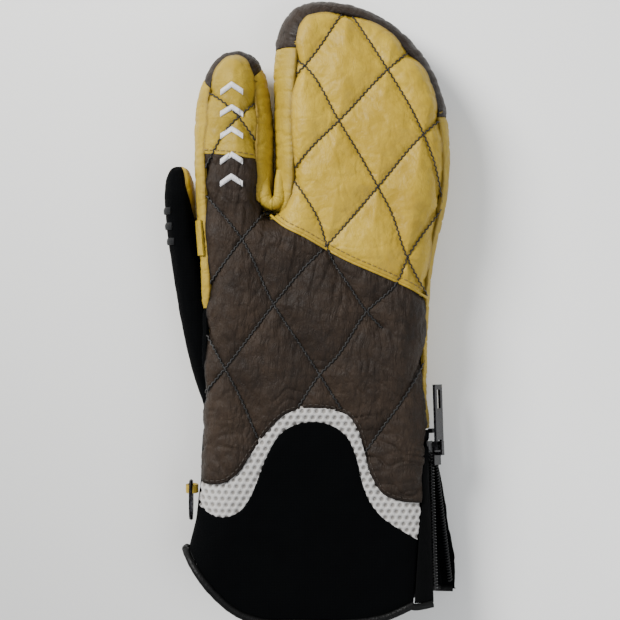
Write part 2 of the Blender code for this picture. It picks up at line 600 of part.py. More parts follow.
THUMB_TIP = 66.9
thumb_slab("thumb_back_panel", 58.0, 232.0, -27.5, THUMB_TIP, 9, 9, margin=(0.014, 0.014, 0, 0))
thumb_slab("thumb_palm_panel", 232.0, 418.0, -27.5, THUMB_TIP, 9, 9, skew=30.0,
           far=LEATHER, margin=(0.014, 0.014, 0, 0))
thumb_slab("thumb_lining_back", 62.0, 228.0, -24.0, 60.0, 6, 5, near=2.0, far=2.9)
thumb_slab("thumb_lining_palm", 236.0, 414.0, -24.0, 60.0, 6, 5, near=2.0, far=2.9, skew=30.0)
thumb_slab("thumb_root_fold", 100.0, 300.0, -48.0, -28.4, 10, 5, margin=(0, 0, 0, 0))


def web_surface(s, t):
    y = -27.0 + 29.0 * t
    x = -40.0 + (PALM_LEFT - 0.6 + 40.0) * s + 0.0 * t
    return np.stack([x, y, 0.9 + 0.0 * s], -1)


slab("thumb_web_gusset", web_surface, 4, 4, near=-1.0, far=0.0, out=1.0, margin=(0, 0, 0, 0))
for k, station in enumerate((30.0, 37.0, 44.0)):
    def bar(s, t, station=station):
        return thumb_skin(station + 3.6 * t, np.radians(118.0 + 44.0 * s))
    slab(f"thumb_grip_bar_{k + 1}", bar, 4, 1, near=-1.1, far=-0.25, out=-1.0, margin=(0, 0, 0, 0))


# --------------------------------------------------------------------- zip
def unit(v):
    return np.array(v, float) / np.linalg.norm(v)


row_back = unit(ZIP_BACK_END - ZIP_TOP)
row_palm = unit(ZIP_PALM_END - ZIP_TOP)
plane_up = unit(np.cross(row_back, row_palm))
across = unit(np.cross(plane_up, row_back))        # from the back chain to the palm chain
across_palm = unit(np.cross(plane_up, row_palm))
if np.dot(across, row_palm) < 0:
    across, across_palm = -across, -across_palm
row_length = float(np.linalg.norm(ZIP_BACK_END - ZIP_TOP))


def chain(name, direction, sideways, sign, offset):
    """Moulded chain: a spine with a tooth every 2.4 mm, as one closed bar."""
    teeth = 12
    pitch = (row_length - 4.0) / teeth
    path = []
    for k in range(teeth):
        start = 3.0 + k * pitch
        for along, grow in ((0.0, 0), (0.5 * pitch, 0), (0.5 * pitch, 1), (pitch, 1)):
            inner = offset + (0.0 if grow else 0.7)
            w = (CHAIN_WIDTH - (0 if grow else 0.7)) / 2
            centre = ZIP_TOP + direction * (start + along + (0.02 if grow else 0.0)) \
                + sideways * sign * (inner + w)
            path.append((centre, sideways * w, plane_up * CHAIN_THICK / 2))
    square = [(-1, -1), (1, -1), (1, 1), (-1, 1)]
    ob = sweep(name, path, square)
    return ob


chain("zip_teeth_back", row_back, across, -1, 0.25)
chain("zip_teeth_palm", row_palm, across_palm, 1, 0.25)


def tape_surface(direction, sideways, sign, far_curve, upper):
    def surface(s, t):
        inner = ZIP_TOP + direction * (row_length * (0.005 + 0.985 * t))[..., None] \
            + sideways * sign * (0.25 + CHAIN_WIDTH + (1.2 if sign < 0 else 1.8))
        y = inner[..., 1]
        x = far_curve(y)
        outer = skin(np.stack([x, y], -1), upper)
        return inner + (outer - inner) * s[..., None]
    return surface


back_x = x_on(cut(zip_seam, 0.3, 1.0))
palm_x = x_on(palm_cuff_right)
slab("zip_tape_back", tape_surface(row_back, across, -1, lambda y: back_x(y) + 0.5, True), 3, 8,
     near=-TAPE / 2, far=TAPE / 2, out=1.0, margin=(0, 0, 0, 0))
slab("zip_tape_palm", tape_surface(row_palm, across_palm, 1, lambda y: palm_x(y) + 0.9, False), 3, 8,
     near=-TAPE / 2, far=TAPE / 2, out=-1.0, margin=(0, 0, 0, 0))


def gusset_surface(s, t):
    along = (14.0 + (row_length - 16.0) * t)[..., None]
    a = ZIP_TOP + row_back * along - plane_up * 2.8 - across * 0.3
    b = ZIP_TOP + row_palm * along - plane_up * 2.8 + across_palm * 0.3
    sag = np.sin(np.pi * s) * 8.0 * t ** 1.3 * (1 - 0.4 * t)
    return a + (b - a) * s[..., None] + plane_up * sag[..., None]


slab("zip_gusset", gusset_surface, 6, 8, near=0.0, far=0.7, out=-1.0, margin=(0, 0, 0, 0))

# slider: two plates round the chains joined by a thin divider between them
PLATE = 1.0
plate_z = CHAIN_THICK / 2 + 0.35
slider_at = ZIP_TOP + row_back * 3.2


def boxes_union(name, origin, u, v, w, boxes):
    """One closed body from boxes that share faces on a common grid."""
    xs = sorted({b[i][0] for b in boxes for i in (0, 1)})
    ys = sorted({b[i][1] for b in boxes for i in (0, 1)})
    zs = sorted({b[i][2] for b in boxes for i in (0, 1)})
    inside = set()
    for i in range(len(xs) - 1):
        for j in range(len(ys) - 1):
            for k in range(len(zs) - 1):
                m = ((xs[i] + xs[i + 1]) / 2, (ys[j] + ys[j + 1]) / 2, (zs[k] + zs[k + 1]) / 2)
                if any(all(b[0][q] < m[q] < b[1][q] for q in range(3)) for b in boxes):
                    inside.add((i, j, k))
    ids, verts, faces = {}, [], []

    def vid(i, j, k):
        if (i, j, k) not in ids:
            ids[(i, j, k)] = len(verts)
            verts.append(np.array(origin) + u * xs[i] + v * ys[j] + w * zs[k])
        return ids[(i, j, k)]
    sides = {(-1, 0, 0): ((0, 0, 0), (0, 0, 1), (0, 1, 1), (0, 1, 0)),
             (1, 0, 0): ((1, 0, 0), (1, 1, 0), (1, 1, 1), (1, 0, 1)),
             (0, -1, 0): ((0, 0, 0), (1, 0, 0), (1, 0, 1), (0, 0, 1)),
             (0, 1, 0): ((0, 1, 0), (0, 1, 1), (1, 1, 1), (1, 1, 0)),
             (0, 0, -1): ((0, 0, 0), (0, 1, 0), (1, 1, 0), (1, 0, 0)),
             (0, 0, 1): ((0, 0, 1), (1, 0, 1), (1, 1, 1), (0, 1, 1))}
    for c in sorted(inside):
        for d, ring in sides.items():
            if (c[0] + d[0], c[1] + d[1], c[2] + d[2]) not in inside:
                faces.append(tuple(vid(c[0] + r[0], c[1] + r[1], c[2] + r[2]) for r in ring))
    return solid(name, verts, faces)


up_finger = -row_back
boxes_union("zip_slider", slider_at, up_finger, -across, plane_up, [
    ((-6.0, -3.4, plate_z), (5.0, 3.4, plate_z + PLATE)),
    ((-6.0, -3.1, -plate_z - PLATE), (5.0, 3.1, -plate_z)),
    ((-6.0, -0.75, -plate_z), (-4.6, -0.3, plate_z)),
    ((-1.5, -1.2, plate_z + PLATE), (0.0, 1.2, plate_z + PLATE + 2.9)),
    ((3.4, -1.2, plate_z + PLATE), (4.8, 1.2, plate_z + PLATE + 2.9)),
    ((-1.5, -1.2, plate_z + PLATE + 2.0), (4.8, 1.2, plate_z + PLATE + 2.9)),
])
# pull tab: flat plate with an eye round the slider's bridge and a long slot
PULL_END, PULL_HALF, PULL_THICK = 31.0, 3.8, 1.2
pull_z = plate_z + PLATE + 0.35
boxes_union("zip_pull_tab", slider_at, up_finger, -across, plane_up, [
    ((0.9, -PULL_HALF, pull_z), (PULL_END, -1.7, pull_z + PULL_THICK)),
    ((0.9, 1.7, pull_z), (PULL_END, PULL_HALF, pull_z + PULL_THICK)),
    ((0.9, -PULL_HALF, pull_z), (2.1, PULL_HALF, pull_z + PULL_THICK)),
    ((5.6, -PULL_HALF, pull_z), (20.0, PULL_HALF, pull_z + PULL_THICK)),
    ((28.6, -PULL_HALF, pull_z), (PULL_END, PULL_HALF, pull_z + PULL_THICK)),
])
boxes_union("zip_top_stop", ZIP_TOP - row_back * 5.6, up_finger, -across, plane_up, [
    ((0.0, -2.2, -1.0), (2.0, 2.2, 1.0))])

# ------------------------------------------------------- loop and its hook
LOOP_AT = np.array((-54.5, -82.5, 14.0))
LOOP_HALF_X, LOOP_HALF_Z, LOOP_WIDE, LOOP_THICK = 2.4, 5.4, 3.6, 1.0
loop_path = []
for k in range(16):
    a = 2 * math.pi * k / 16
    centre = LOOP_AT + np.array((math.cos(a) * LOOP_HALF_X, 0.0, math.sin(a) * LOOP_HALF_Z))
    normal = unit((math.cos(a) / LOOP_HALF_X, 0.0, math.sin(a) / LOOP_HALF_Z))
    loop_path.append((centre, normal * LOOP_THICK / 2, np.array((0.0, LOOP_WIDE / 2, 0.0))))
sweep("hang_loop", loop_path, [(-1, -1), (1, -1), (1, 1), (-1, 1)], closed=True)
RING_WIRE, RING_HALF_Y, RING_HALF_Z = 0.95, 8.6, 3.7
ring_at = LOOP_AT + np.array((0.0, 3.9 - RING_HALF_Y, LOOP_HALF_Z))
ring_path = []
for k in range(20):
    a = 2 * math.pi * k / 20
    centre = ring_at + np.array((0.0, RING_HALF_Y * math.cos(a), RING_HALF_Z * math.sin(a)))
    normal = unit((0.0, math.cos(a) / RING_HALF_Y, math.sin(a) / RING_HALF_Z))
    ring_path.append((centre, normal * RING_WIRE, np.array((RING_WIRE, 0.0, 0.0))))
sweep("pairing_ring", ring_path, disc(6, 1.0), closed=True)


# ------------------------------------------------------------- palm details
panel("palm_grip_patch", straight((-10.0, -38.0), (-6.0, 14.0)), straight((38.0, -38.0), (40.0, 14.0)),
      straight((-10.0, -38.0), (38.0, -38.0)), straight((-6.0, 14.0), (40.0, 14.0)), 6, 6,
      upper=False, near=-0.9, far=-0.1, margin=(0, 0, 0, 0))


def tab_surface(s, t):
    q = where_y(index_edge, 41.0, False) + (where_y(index_edge, 25.0, False)
                                           - where_y(index_edge, 41.0, False)) * s
    p = index_edge(q)
    turn = np.radians(2.0 + 30.0 * t)
    x = p[..., 0] + EDGE_RADIUS * (1 - np.cos(turn))
    y = p[..., 1]
    e0 = edge_level(x, y)
    return np.stack([x, y, e0 + (crown(x, y) - e0) * np.sin(turn)], -1)


slab("side_strap_tab", tab_surface, 4, 3, near=-1.0, far=-0.15, out=1.0, margin=(0, 0, 0, 0))

# row of raised chevrons on the index finger, standing in for the lettering
for k in range(5):
    y0 = 56.0 + 10.0 * k + (1.6 if k > 1 else 0.0)

    def chevron(s, t, y0=y0):
        x = -39.5 + 9.0 * s
        y = y0 + 3.2 * (1 - np.abs(2 * s - 1)) + 2.0 * t
        return skin(np.stack([x, y], -1), True)
    slab(f"index_chevron_{k + 1}", chevron, 4, 1, near=-0.8, far=-0.1, margin=(0, 0, 0, 0))

# the mitten rests on z = 0 with its footprint centred on x = y = 0
every = np.array([v.co[:] for ob in bpy.data.objects for v in ob.data.vertices])
middle = (every.min(0) + every.max(0)) / 2
home = np.array((middle[0], middle[1], every[:, 2].min()))
for ob in bpy.data.objects:
    for v in ob.data.vertices:
        v.co = [v.co[i] - home[i] for i in range(3)]

# -------------------------------------------------- pivots and materials
INDEX_PIVOT = (-34.8, KNUCKLE_Y, KNUCKLE_Z)
HOOD_PIVOT = (23.0, KNUCKLE_Y, KNUCKLE_Z)
PIVOTS = {"index_": INDEX_PIVOT, "hood_": HOOD_PIVOT, "thumb_": (*THUMB_PIVOT, 12.0),
          "zip_slider": slider_at, "zip_pull_tab": slider_at + up_finger * 1.5 + plane_up * (plate_z + PLATE + 0.95),
          "zip_tape_palm": ZIP_TOP, "zip_teeth_palm": ZIP_TOP,
          "pairing_ring": LOOP_AT + np.array((0.0, 0.0, LOOP_HALF_Z))}
STAYS_WITH_HAND = ("index_knuckle_fold", "hood_knuckle_fold", "thumb_side_strip", "thumb_fourchette",
                   "thumb_root_fold", "thumb_web_gusset")
TAN, BROWN, CAP = (0.50, 0.36, 0.10), (0.035, 0.022, 0.015), (0.030, 0.022, 0.017)
BLACK, WHITE, METAL = (0.006, 0.007, 0.009), (0.62, 0.60, 0.57), (0.05, 0.05, 0.055)
FLEECE, PALM = (0.10, 0.09, 0.085), (0.45, 0.32, 0.10)
MATERIALS = [
    ("tan_leather", TAN, 0.55, 0.0, ("index_back_upper", "index_outer", "index_inner", "hood_back", "hood_inner",
                                     "hood_outer", "hood_knuckle", "tan_knuckle", "thumb_side", "little_finger",
                                     "side_strap", "hang_loop")),
    ("tan_palm_leather", PALM, 0.6, 0.0, ("index_palm", "hood_palm", "palm_panel", "thumb_palm_panel",
                                          "thumb_fourchette", "thumb_root", "thumb_web")),
    ("brown_leather", BROWN, 0.5, 0.0, ("brown_back", "index_back_lower", "index_knuckle", "palm_grip")),
    ("cap_leather", CAP, 0.42, 0.0, ("index_tip", "hood_tip")),
    ("white_spacer_mesh", WHITE, 0.8, 0.0, ("wrist_mesh", "index_chevron")),
    ("black_softshell", BLACK, 0.85, 0.0, ("cuff_", "thumb_back", "hem_", "zip_gusset", "zip_tape")),
    ("grey_rubber", (0.05, 0.05, 0.055), 0.6, 0.0, ("thumb_grip",)),
    ("black_nickel", METAL, 0.3, 1.0, ("zip_slider", "zip_pull", "zip_top", "pairing_ring")),
    ("black_plastic", (0.012, 0.012, 0.014), 0.35, 0.0, ("zip_teeth",)),
    ("grey_fleece", FLEECE, 0.95, 0.0, ("lining",)),
]


def material_for(name):
    for label, colour, rough, metallic, keys in MATERIALS:
        if any(name.startswith(k) or (k == "lining" and k in name) for k in keys):
            found = bpy.data.materials.get(label) or bpy.data.materials.new(label)
            found.use_nodes = True
            shader = found.node_tree.nodes["Principled BSDF"]
            shader.inputs["Base Color"].default_value = (*colour, 1.0)
            shader.inputs["Roughness"].default_value = rough
            shader.inputs["Metallic"].default_value = metallic
            return found
    return None


for ob in bpy.data.objects:
    ob.data.materials.append(material_for(ob.name))
    key = next((k for k in PIVOTS if ob.name.startswith(k)), None)
    if key and ob.name not in STAYS_WITH_HAND:
        pivot = np.array(PIVOTS[key], float) * MM - home
        for v in ob.data.vertices:
            v.co = [v.co[i] - pivot[i] for i in range(3)]
        ob.location = pivot
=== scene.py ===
"""Trigger mitten, palm down on a pale table: looks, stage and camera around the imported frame."""
import json
import math

import bpy
import numpy as np
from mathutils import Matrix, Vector


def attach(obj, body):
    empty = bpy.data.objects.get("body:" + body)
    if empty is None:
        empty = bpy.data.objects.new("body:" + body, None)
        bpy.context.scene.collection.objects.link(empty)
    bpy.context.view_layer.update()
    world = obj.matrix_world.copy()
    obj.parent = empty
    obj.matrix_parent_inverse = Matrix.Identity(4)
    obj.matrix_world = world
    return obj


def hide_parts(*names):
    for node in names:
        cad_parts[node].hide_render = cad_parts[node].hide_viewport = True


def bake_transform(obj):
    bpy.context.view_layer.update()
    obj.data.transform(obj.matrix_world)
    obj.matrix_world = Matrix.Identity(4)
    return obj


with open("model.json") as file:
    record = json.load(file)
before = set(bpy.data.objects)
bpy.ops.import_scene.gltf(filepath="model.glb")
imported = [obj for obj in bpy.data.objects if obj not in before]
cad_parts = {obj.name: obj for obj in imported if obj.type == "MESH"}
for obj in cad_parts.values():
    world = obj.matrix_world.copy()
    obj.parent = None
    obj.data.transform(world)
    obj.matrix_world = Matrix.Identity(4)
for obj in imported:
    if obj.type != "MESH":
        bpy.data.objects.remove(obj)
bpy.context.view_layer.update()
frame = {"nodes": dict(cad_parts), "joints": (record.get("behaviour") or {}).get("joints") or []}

# ---------------------------------------------------------------- dimensions
# Everything is worked out in millimetres in the drawing's own frame, as in the
# CAD model, and moved to the row frame by HOME when a mesh is made.
MM = 0.001
INDEX_PIVOT = np.array((-34.8, 49.0, 18.0))
joint_at = {j["name"]: np.array(j["pos_m"], float) for j in frame["joints"] if j.get("pos_m")}
HOME = joint_at["index_flex"] / MM - INDEX_PIVOT
RIM = 1.5
EDGE_RADIUS = 17.0
SIDE_LOW = -50.0
PALM_LEFT = -26.0
CUFF_TOP = -54.0
ZIP_TOP = np.array((56.8, -62.0, 19.0))
ZIP_BACK_END = np.array((58.8, -131.0, 22.0))
ZIP_PALM_END = np.array((65.8, -131.5, 10.0))
SPLIT_X = -17.8

# Outlines and seams were read off the photo, at 0.46 mm per pixel. A third number is how far the
# seam of the back lies inside the outline.
INDEX_EDGE = [(-18.0, 45.8, 0.6), (-17.3, 47.4, 4.2), (-16.9, 51.0, 6.3), (-16.6, 58.0, 7.0),
              (-16.5, 68.0, 7.2), (-16.8, 82.0, 6.4), (-17.6, 93.0, 5.8), (-19.3, 104.0, 5.4),
              (-22.0, 111.8, 5.2), (-26.3, 117.4, 4.0),
              (-33.0, 120.0, 3.2), (-39.8, 118.0, 3.2), (-45.2, 112.8, 3.4), (-49.0, 106.0, 3.6),
              (-51.5, 97.0, 4.6), (-52.8, 86.0, 6.2), (-52.9, 74.0, 4.4), (-52.4, 60.0, 4.2),
              (-51.6, 46.0, 3.8), (-50.1, 28.0, 3.4), (-48.9, 10.0, 3.0), (-48.3, -5.0, 1.0),
              (-48.6, -22.0, 0.6), (-48.8, -41.0, 0.0), (-49.6, -60.0, 0.0), (-50.8, -80.0, 0.0),
              (-53.0, -96.0, 0.0), (-56.3, -109.5, 0.0), (-59.5, -119.0, 0.0)]
HOOD_EDGE = [(-17.6, 45.6, 0.6), (-16.9, 47.2, 4.4), (-16.4, 51.0, 6.8), (-16.1, 58.0, 7.6),
             (-15.9, 68.0, 7.9), (-15.9, 82.0, 7.9), (-16.1, 97.0, 8.2), (-16.1, 113.0, 9.6),
             (-15.0, 126.0, 9.4), (-11.4, 134.0, 8.2),
             (-5.1, 140.4, 7.4), (5.1, 143.0, 7.2), (16.6, 142.0, 5.6), (28.1, 138.0, 4.8),
             (39.6, 131.2, 5.2), (48.8, 122.6, 5.0), (55.7, 113.2, 4.2), (60.3, 101.9, 3.8),
             (63.2, 91.0, 3.9), (64.7, 76.0, 3.6), (64.4, 61.0, 2.6), (62.4, 46.5, 1.8),
             (58.6, 31.0, 1.6), (56.3, 17.0, 1.3), (55.4, 4.0, 1.0), (54.4, -16.0, 1.0),
             (54.4, -40.0, 1.0), (56.0, -58.0, 1.0), (58.4, -78.0, 1.0), (60.0, -100.0, 1.0),
             (60.6, -120.0, 1.0), (60.6, -142.0, 1.0)]
COLOUR_SEAM = [(-17.6, 43.4), (-12.0, 38.6), (-2.0, 33.4), (7.4, 28.0), (16.6, 23.0),
               (25.8, 18.9), (35.0, 15.0), (44.0, 11.0), (54.6, 5.4)]
MESH_UPPER = [(-50.6, -78.9), (-45.5, -79.2), (-38.6, -78.2), (-32.6, -74.0), (-27.0, -66.0),
              (-21.6, -58.5), (-15.6, -51.0), (-10.5, -46.9), (-5.0, -44.9), (3.0, -44.2),
              (12.0, -45.6), (17.4, -47.6), (21.5, -53.0), (24.6, -63.0), (28.6, -76.0),
              (33.6, -83.3), (39.6, -86.0), (51.0, -87.6)]
MESH_LOWER = [(-51.9, -89.6), (-47.0, -92.2), (-42.4, -94.0), (-37.0, -94.0), (-31.7, -91.4),
              (-27.4, -86.0), (-23.6, -77.0), (-19.6, -67.0), (-14.6, -58.0), (-9.6, -53.4),
              (-3.6, -51.2), (4.6, -50.8), (11.6, -53.0), (16.6, -57.0), (20.6, -65.0),
              (23.6, -77.0), (27.6, -87.4), (33.4, -94.4), (41.0, -99.6), (49.6, -104.6)]
HEM = [(-56.3, -109.5), (-50.1, -119.1), (-42.0, -128.8), (-32.5, -136.6), (-23.0, -140.3),
       (-5.0, -141.0), (17.0, -141.0), (34.0, -138.6), (47.6, -132.6)]
ZIP_SEAM = [(52.9, -56.0), (51.9, -66.0),
            (51.0, -80.0), (51.0, -87.6), (49.6, -104.6), (47.6, -132.6)]
# the thumb, station by station: y, left side, half width, half height
THUMB = [(-44.0, -49.4, 4.0, 8.0), (-30.0, -54.0, 6.2, 10.6), (-12.0, -58.4, 7.4, 11.4),
         (6.0, -61.7, 7.9, 11.7), (26.0, -64.8, 7.7, 12.2), (44.0, -66.9, 7.0, 12.4),
         (56.0, -67.3, 6.9, 12.2), (63.0, -66.2, 5.8, 10.2), (67.2, -62.6, 2.6, 5.2)]
# diamond quilting, in plan
QUILT = [
    [(17.0, 138.6), (-2.3, 110.9), (-6.6, 106.6)],
    [(17.0, 138.6), (35.4, 109.0), (41.9, 98.4), (51.5, 79.6), (55.7, 69.5), (61.6, 46.5)],
    [(-6.6, 114.5), (-2.3, 110.9), (13.3, 85.6), (24.4, 67.2), (30.8, 55.7), (36.3, 45.5),
     (44.2, 23.5), (48.8, 15.2), (54.4, 6.6)],
    [(-10.6, 63.5), (-1.8, 51.1), (4.1, 40.9), (7.8, 29.4), (9.7, 24.4), (18.9, 9.7),
     (25.8, -0.5), (32.7, -7.8)],
    [(47.5, 119.6), (35.4, 109.0), (13.3, 85.6), (0.5, 73.1), (-10.4, 60.0)],
    [(60.8, 87.6), (51.5, 79.6), (30.8, 55.7), (7.8, 29.4), (-4.1, 17.5), (-16.1, 2.8),
     (-38.2, -26.2), (-47.6, -37.3)],
    [(60.6, 46.5), (44.2, 23.5), (39.6, 12.9), (25.8, -0.5), (12.0, -21.2), (4.6, -29.0),
     (-5.1, -43.6)],
    [(-47.6, 53.0), (-30.4, 32.2), (-16.1, 2.8), (-4.1, -15.6), (4.6, -29.0), (14.3, -44.4)],
    [(-19.4, 45.5), (-30.4, 32.2), (-46.4, 10.6)],
    [(-47.2, -10.0), (-38.2, -26.2), (-31.7, -38.6), (-23.5, -58.0)],
    [(53.6, -22.0), (46.5, -34.0), (30.4, -57.0), (25.6, -64.0)],
    [(-47.8, 100.8), (-35.4, 91.1), (-22.8, 75.0)],
    [(-22.8, 95.9), (-38.6, 80.0), (-44.2, 70.4), (-48.2, 63.4)],
]


# ------------------------------------------------------------------- curves
def polyline(xy):
    """Line through points, as a function of 0..1 of its plan length."""
    xy = np.asarray(xy, float)
    length = np.concatenate(([0.0], np.cumsum(np.linalg.norm(np.diff(xy[:, :2], axis=0), axis=1))))

    def at(t):
        q = np.clip(np.asarray(t, float), 0, 1) * length[-1]
        return np.stack([np.interp(q, length, xy[:, k]) for k in range(xy.shape[1])], -1)
    at.points = xy
    at.length = length[-1]
    return at


def curve(points, steps=24):
    """Smooth line through a few points, as a function of 0..1 of its length."""
    p = np.array(points, float)
    seg = np.maximum(np.linalg.norm(np.diff(p[:, :2], axis=0), axis=1), 1e-6)
    knot = np.concatenate(([0.0], np.cumsum(seg)))
    slope = np.gradient(p, knot, axis=0)
    fine = np.concatenate([np.linspace(knot[i], knot[i + 1], steps, endpoint=False)
                           for i in range(len(seg))] + [[knot[-1]]])
    i = np.clip(np.searchsorted(knot, fine, side="right") - 1, 0, len(seg) - 1)
    h = (knot[i + 1] - knot[i])[:, None]
    t = ((fine - knot[i]) / h[:, 0])[:, None]
    return polyline((2 * t**3 - 3 * t**2 + 1) * p[i] + (t**3 - 2 * t**2 + t) * h * slope[i]
                    + (3 * t**2 - 2 * t**3) * p[i + 1] + (t**3 - t**2) * h * slope[i + 1])


def cut(line, t0, t1, n=160):
    return polyline(line(np.linspace(t0, t1, n)))


def join(*lines):
    return polyline(np.concatenate([ln.points[:, :2] if k == 0 else ln.points[1:, :2]
                                    for k, ln in enumerate(lines)]))


def straight(a, b, n=24):
    return polyline(np.linspace(a, b, n))


def turned(line):
    return polyline(line.points[::-1])


def where_y(line, y, rising):
    """Place along a line where it crosses a height, going up or going down."""
    t = np.linspace(0, 1, 2001)
    v = line(t)[:, 1] - y
    hits = [k for k in range(2000) if v[k] * v[k + 1] <= 0 and (v[k + 1] > v[k]) == rising]
    k = hits[0] if rising else hits[-1]
    return t[k] - (t[k + 1] - t[k]) * v[k] / (v[k + 1] - v[k])


def run(line, level0, level1, rising):
    """Stretch of a line between two heights."""
    return cut(line, where_y(line, level0, rising), where_y(line, level1, rising))


def tip(line, level_left, level_right, left_first):
    """Stretch of an outline round its finger tip."""
    if left_first:
        return cut(line, where_y(line, level_left, True), where_y(line, level_right, False))
    return cut(line, where_y(line, level_left, False), where_y(line, level_right, True))


def moved(line, side, offset=None, n=320):
    """Line shifted sideways by its third coordinate, or by a fixed amount."""
    t = np.linspace(0, 1, n)
    p = line(t)
    e = 1e-3
    d = line(np.clip(t + e, 0, 1))[:, :2] - line(np.clip(t - e, 0, 1))[:, :2]
    d /= np.linalg.norm(d, axis=1)[:, None]
    w = p[:, 2] if offset is None else np.full(n, float(offset))
    return polyline(p[:, :2] + side * np.stack([-d[:, 1], d[:, 0]], -1) * w[:, None])


index_edge, hood_edge = curve(INDEX_EDGE), curve(HOOD_EDGE)
index_seam, hood_seam = moved(index_edge, 1), moved(hood_edge, -1)
low_inset = EDGE_RADIUS * (1 - math.cos(math.radians(-SIDE_LOW)))
index_low, hood_low = moved(index_edge, 1, low_inset), moved(hood_edge, -1, low_inset)
outline = np.concatenate((index_edge.points[::-1, :2], hood_edge.points[:, :2]))
seam_line = curve(COLOUR_SEAM)
mesh_up, mesh_lo, hem = curve(MESH_UPPER), curve(MESH_LOWER), curve(HEM)
zip_seam = join(turned(run(hood_seam, -52.0, 5.4, False)), curve(ZIP_SEAM))


# -------------------------------------------------------------- shared skin
def ease(v, a, b):
    """0 below a, 1 above b, smooth between."""
    t = np.clip((np.asarray(v, float) - a) / (b - a), 0, 1)
    return t * t * (3 - 2 * t)


def level(y, table):
    """Smooth value at y, from pairs of position and value."""
    ys, vs = np.array(table, float).T
    slope = np.gradient(vs, ys)
    y = np.clip(y, ys[0], ys[-1])
    i = np.clip(np.searchsorted(ys, y, side="right") - 1, 0, len(ys) - 2)
    h = ys[i + 1] - ys[i]
    t = (y - ys[i]) / h
    return ((2 * t**3 - 3 * t**2 + 1) * vs[i] + (t**3 - 2 * t**2 + t) * h * slope[i]
            + (3 * t**2 - 2 * t**3) * vs[i + 1] + (t**3 - t**2) * h * slope[i + 1])


def crown(y):
    """Height of the middle of the back."""
    return level(y, [(-143, 29), (-100, 29.5), (-60, 32), (-10, 36.5), (50, 37.6), (100, 35.5), (143, 30)])


def edge_level(x, y):
    """Height of the widest line round the mitten."""
    return level(y, [(-143, 14.5), (-60, 16), (0, 17.5), (60, 18), (143, 15)]) \
        + 9.0 * ease(-x, 10, 34) * ease(y, -56, -30) * (1 - ease(y, 30, 62))


def floor_level(x, y):
    """Height of the palm: the thumb side and the fingers lift off the table."""
    thumb_side = np.clip((PALM_LEFT - x) / 24.0, 0, 1) * ease(y, -54, -36) * (1 - ease(y, 32, 56))
    return 24.0 * thumb_side + 2.5 * ease(y, 50, 70) * ease(-x, 0, 24) + 0.5 * ease(y, 50, 90)


def distance(xy, lines):
    """Plan distance from points to the nearest of some polylines."""
    flat = xy.reshape(-1, 2)
    a = np.concatenate([ln[:-1, :2] for ln in lines])
    ab = np.concatenate([ln[1:, :2] - ln[:-1, :2] for ln in lines])
    keep = (ab ** 2).sum(1) > 1e-12
    a, ab = a[keep], ab[keep]
    out = np.empty(len(flat))
    for k in range(0, len(flat), 2000):
        q = flat[k:k + 2000, None, :]
        t = np.clip(((q - a) * ab).sum(-1) / (ab ** 2).sum(-1), 0, 1)
        out[k:k + 2000] = np.sqrt((((a + ab * t[..., None]) - q) ** 2).sum(-1).min(1))
    return out.reshape(xy.shape[:-1])


outline_lines = [cut(polyline(outline), 0, 1, 420).points]


def skin(xy, upper=True):
    """Plain surface of the mitten over plan points, upper or lower side."""
    x, y = xy[..., 0], xy[..., 1]
    d = distance(xy, outline_lines)
    k = np.sqrt(np.clip(1 - (1 - np.minimum(d / EDGE_RADIUS, 1)) ** 2, 0, 1))
    e = edge_level(x, y)
    z = e + (crown(y) - e) * k if upper else e - (e - floor_level(x, y)) * k
    return np.concatenate([xy, z[..., None]], -1)


def coons(left, right, bottom, top):
    """Plan patch between four lines."""
    def plan(s, t):
        a, b = s[..., None], t[..., None]
        b0, b1, t0, t1 = bottom(0.0), bottom(1.0), top(0.0), top(1.0)
        return ((1 - a) * left(t)[..., :2] + a * right(t)[..., :2] + (1 - b) * bottom(s)[..., :2]
                + b * top(s)[..., :2] - (1 - a) * (1 - b) * b0[:2] - a * (1 - b) * b1[:2]
                - (1 - a) * b * t0[:2] - a * b * t1[:2])
    return plan


def round_in(v, width, low, high):
    """Spread samples evenly over the rounded edge at either end of a panel."""
    r = EDGE_RADIUS / width
    arc = math.pi / 2
    a, b = arc * r * bool(low), arc * r * bool(high)
    flat = max(1.0 - r * bool(low) - r * bool(high), 0.02)
    q = np.asarray(v, float) * (a + flat + b)
    out = r * bool(low) + (q - a)
    if low:
        out = np.where(q < a, r * (1 - np.cos(np.clip(q / r, 0, arc))), out)
    if high:
        back = (a + flat + b) - q
        out = np.where(back < b, 1 - r * (1 - np.cos(np.clip(back / r, 0, arc))), out)
    return np.clip(out, 0, 1)


# -------------------------------------------------------------------- noise
_table = np.random.default_rng(7).uniform(-1, 1, (256, 256))


def noise(x, y, seed=0):
    """Smooth value noise, -1..1, one feature per unit."""
    xi, yi = np.floor(x).astype(int), np.floor(y).astype(int)
    fx, fy = x - xi, y - yi
    fx, fy = fx**3 * (fx * (fx * 6 - 15) + 10), fy**3 * (fy * (fy * 6 - 15) + 10)
    xi, yi = xi + 37 * seed, yi + 91 * seed

    def at(i, j):
        return _table[i % 256, j % 256]
    return ((at(xi, yi) * (1 - fx) + at(xi + 1, yi) * fx) * (1 - fy)
            + (at(xi, yi + 1) * (1 - fx) + at(xi + 1, yi + 1) * fx) * fy)


def fbm(x, y, seed=0, octaves=3):
    return sum(noise(x * 2**k, y * 2**k, seed + k) / 2**k for k in range(octaves)) / 1.75


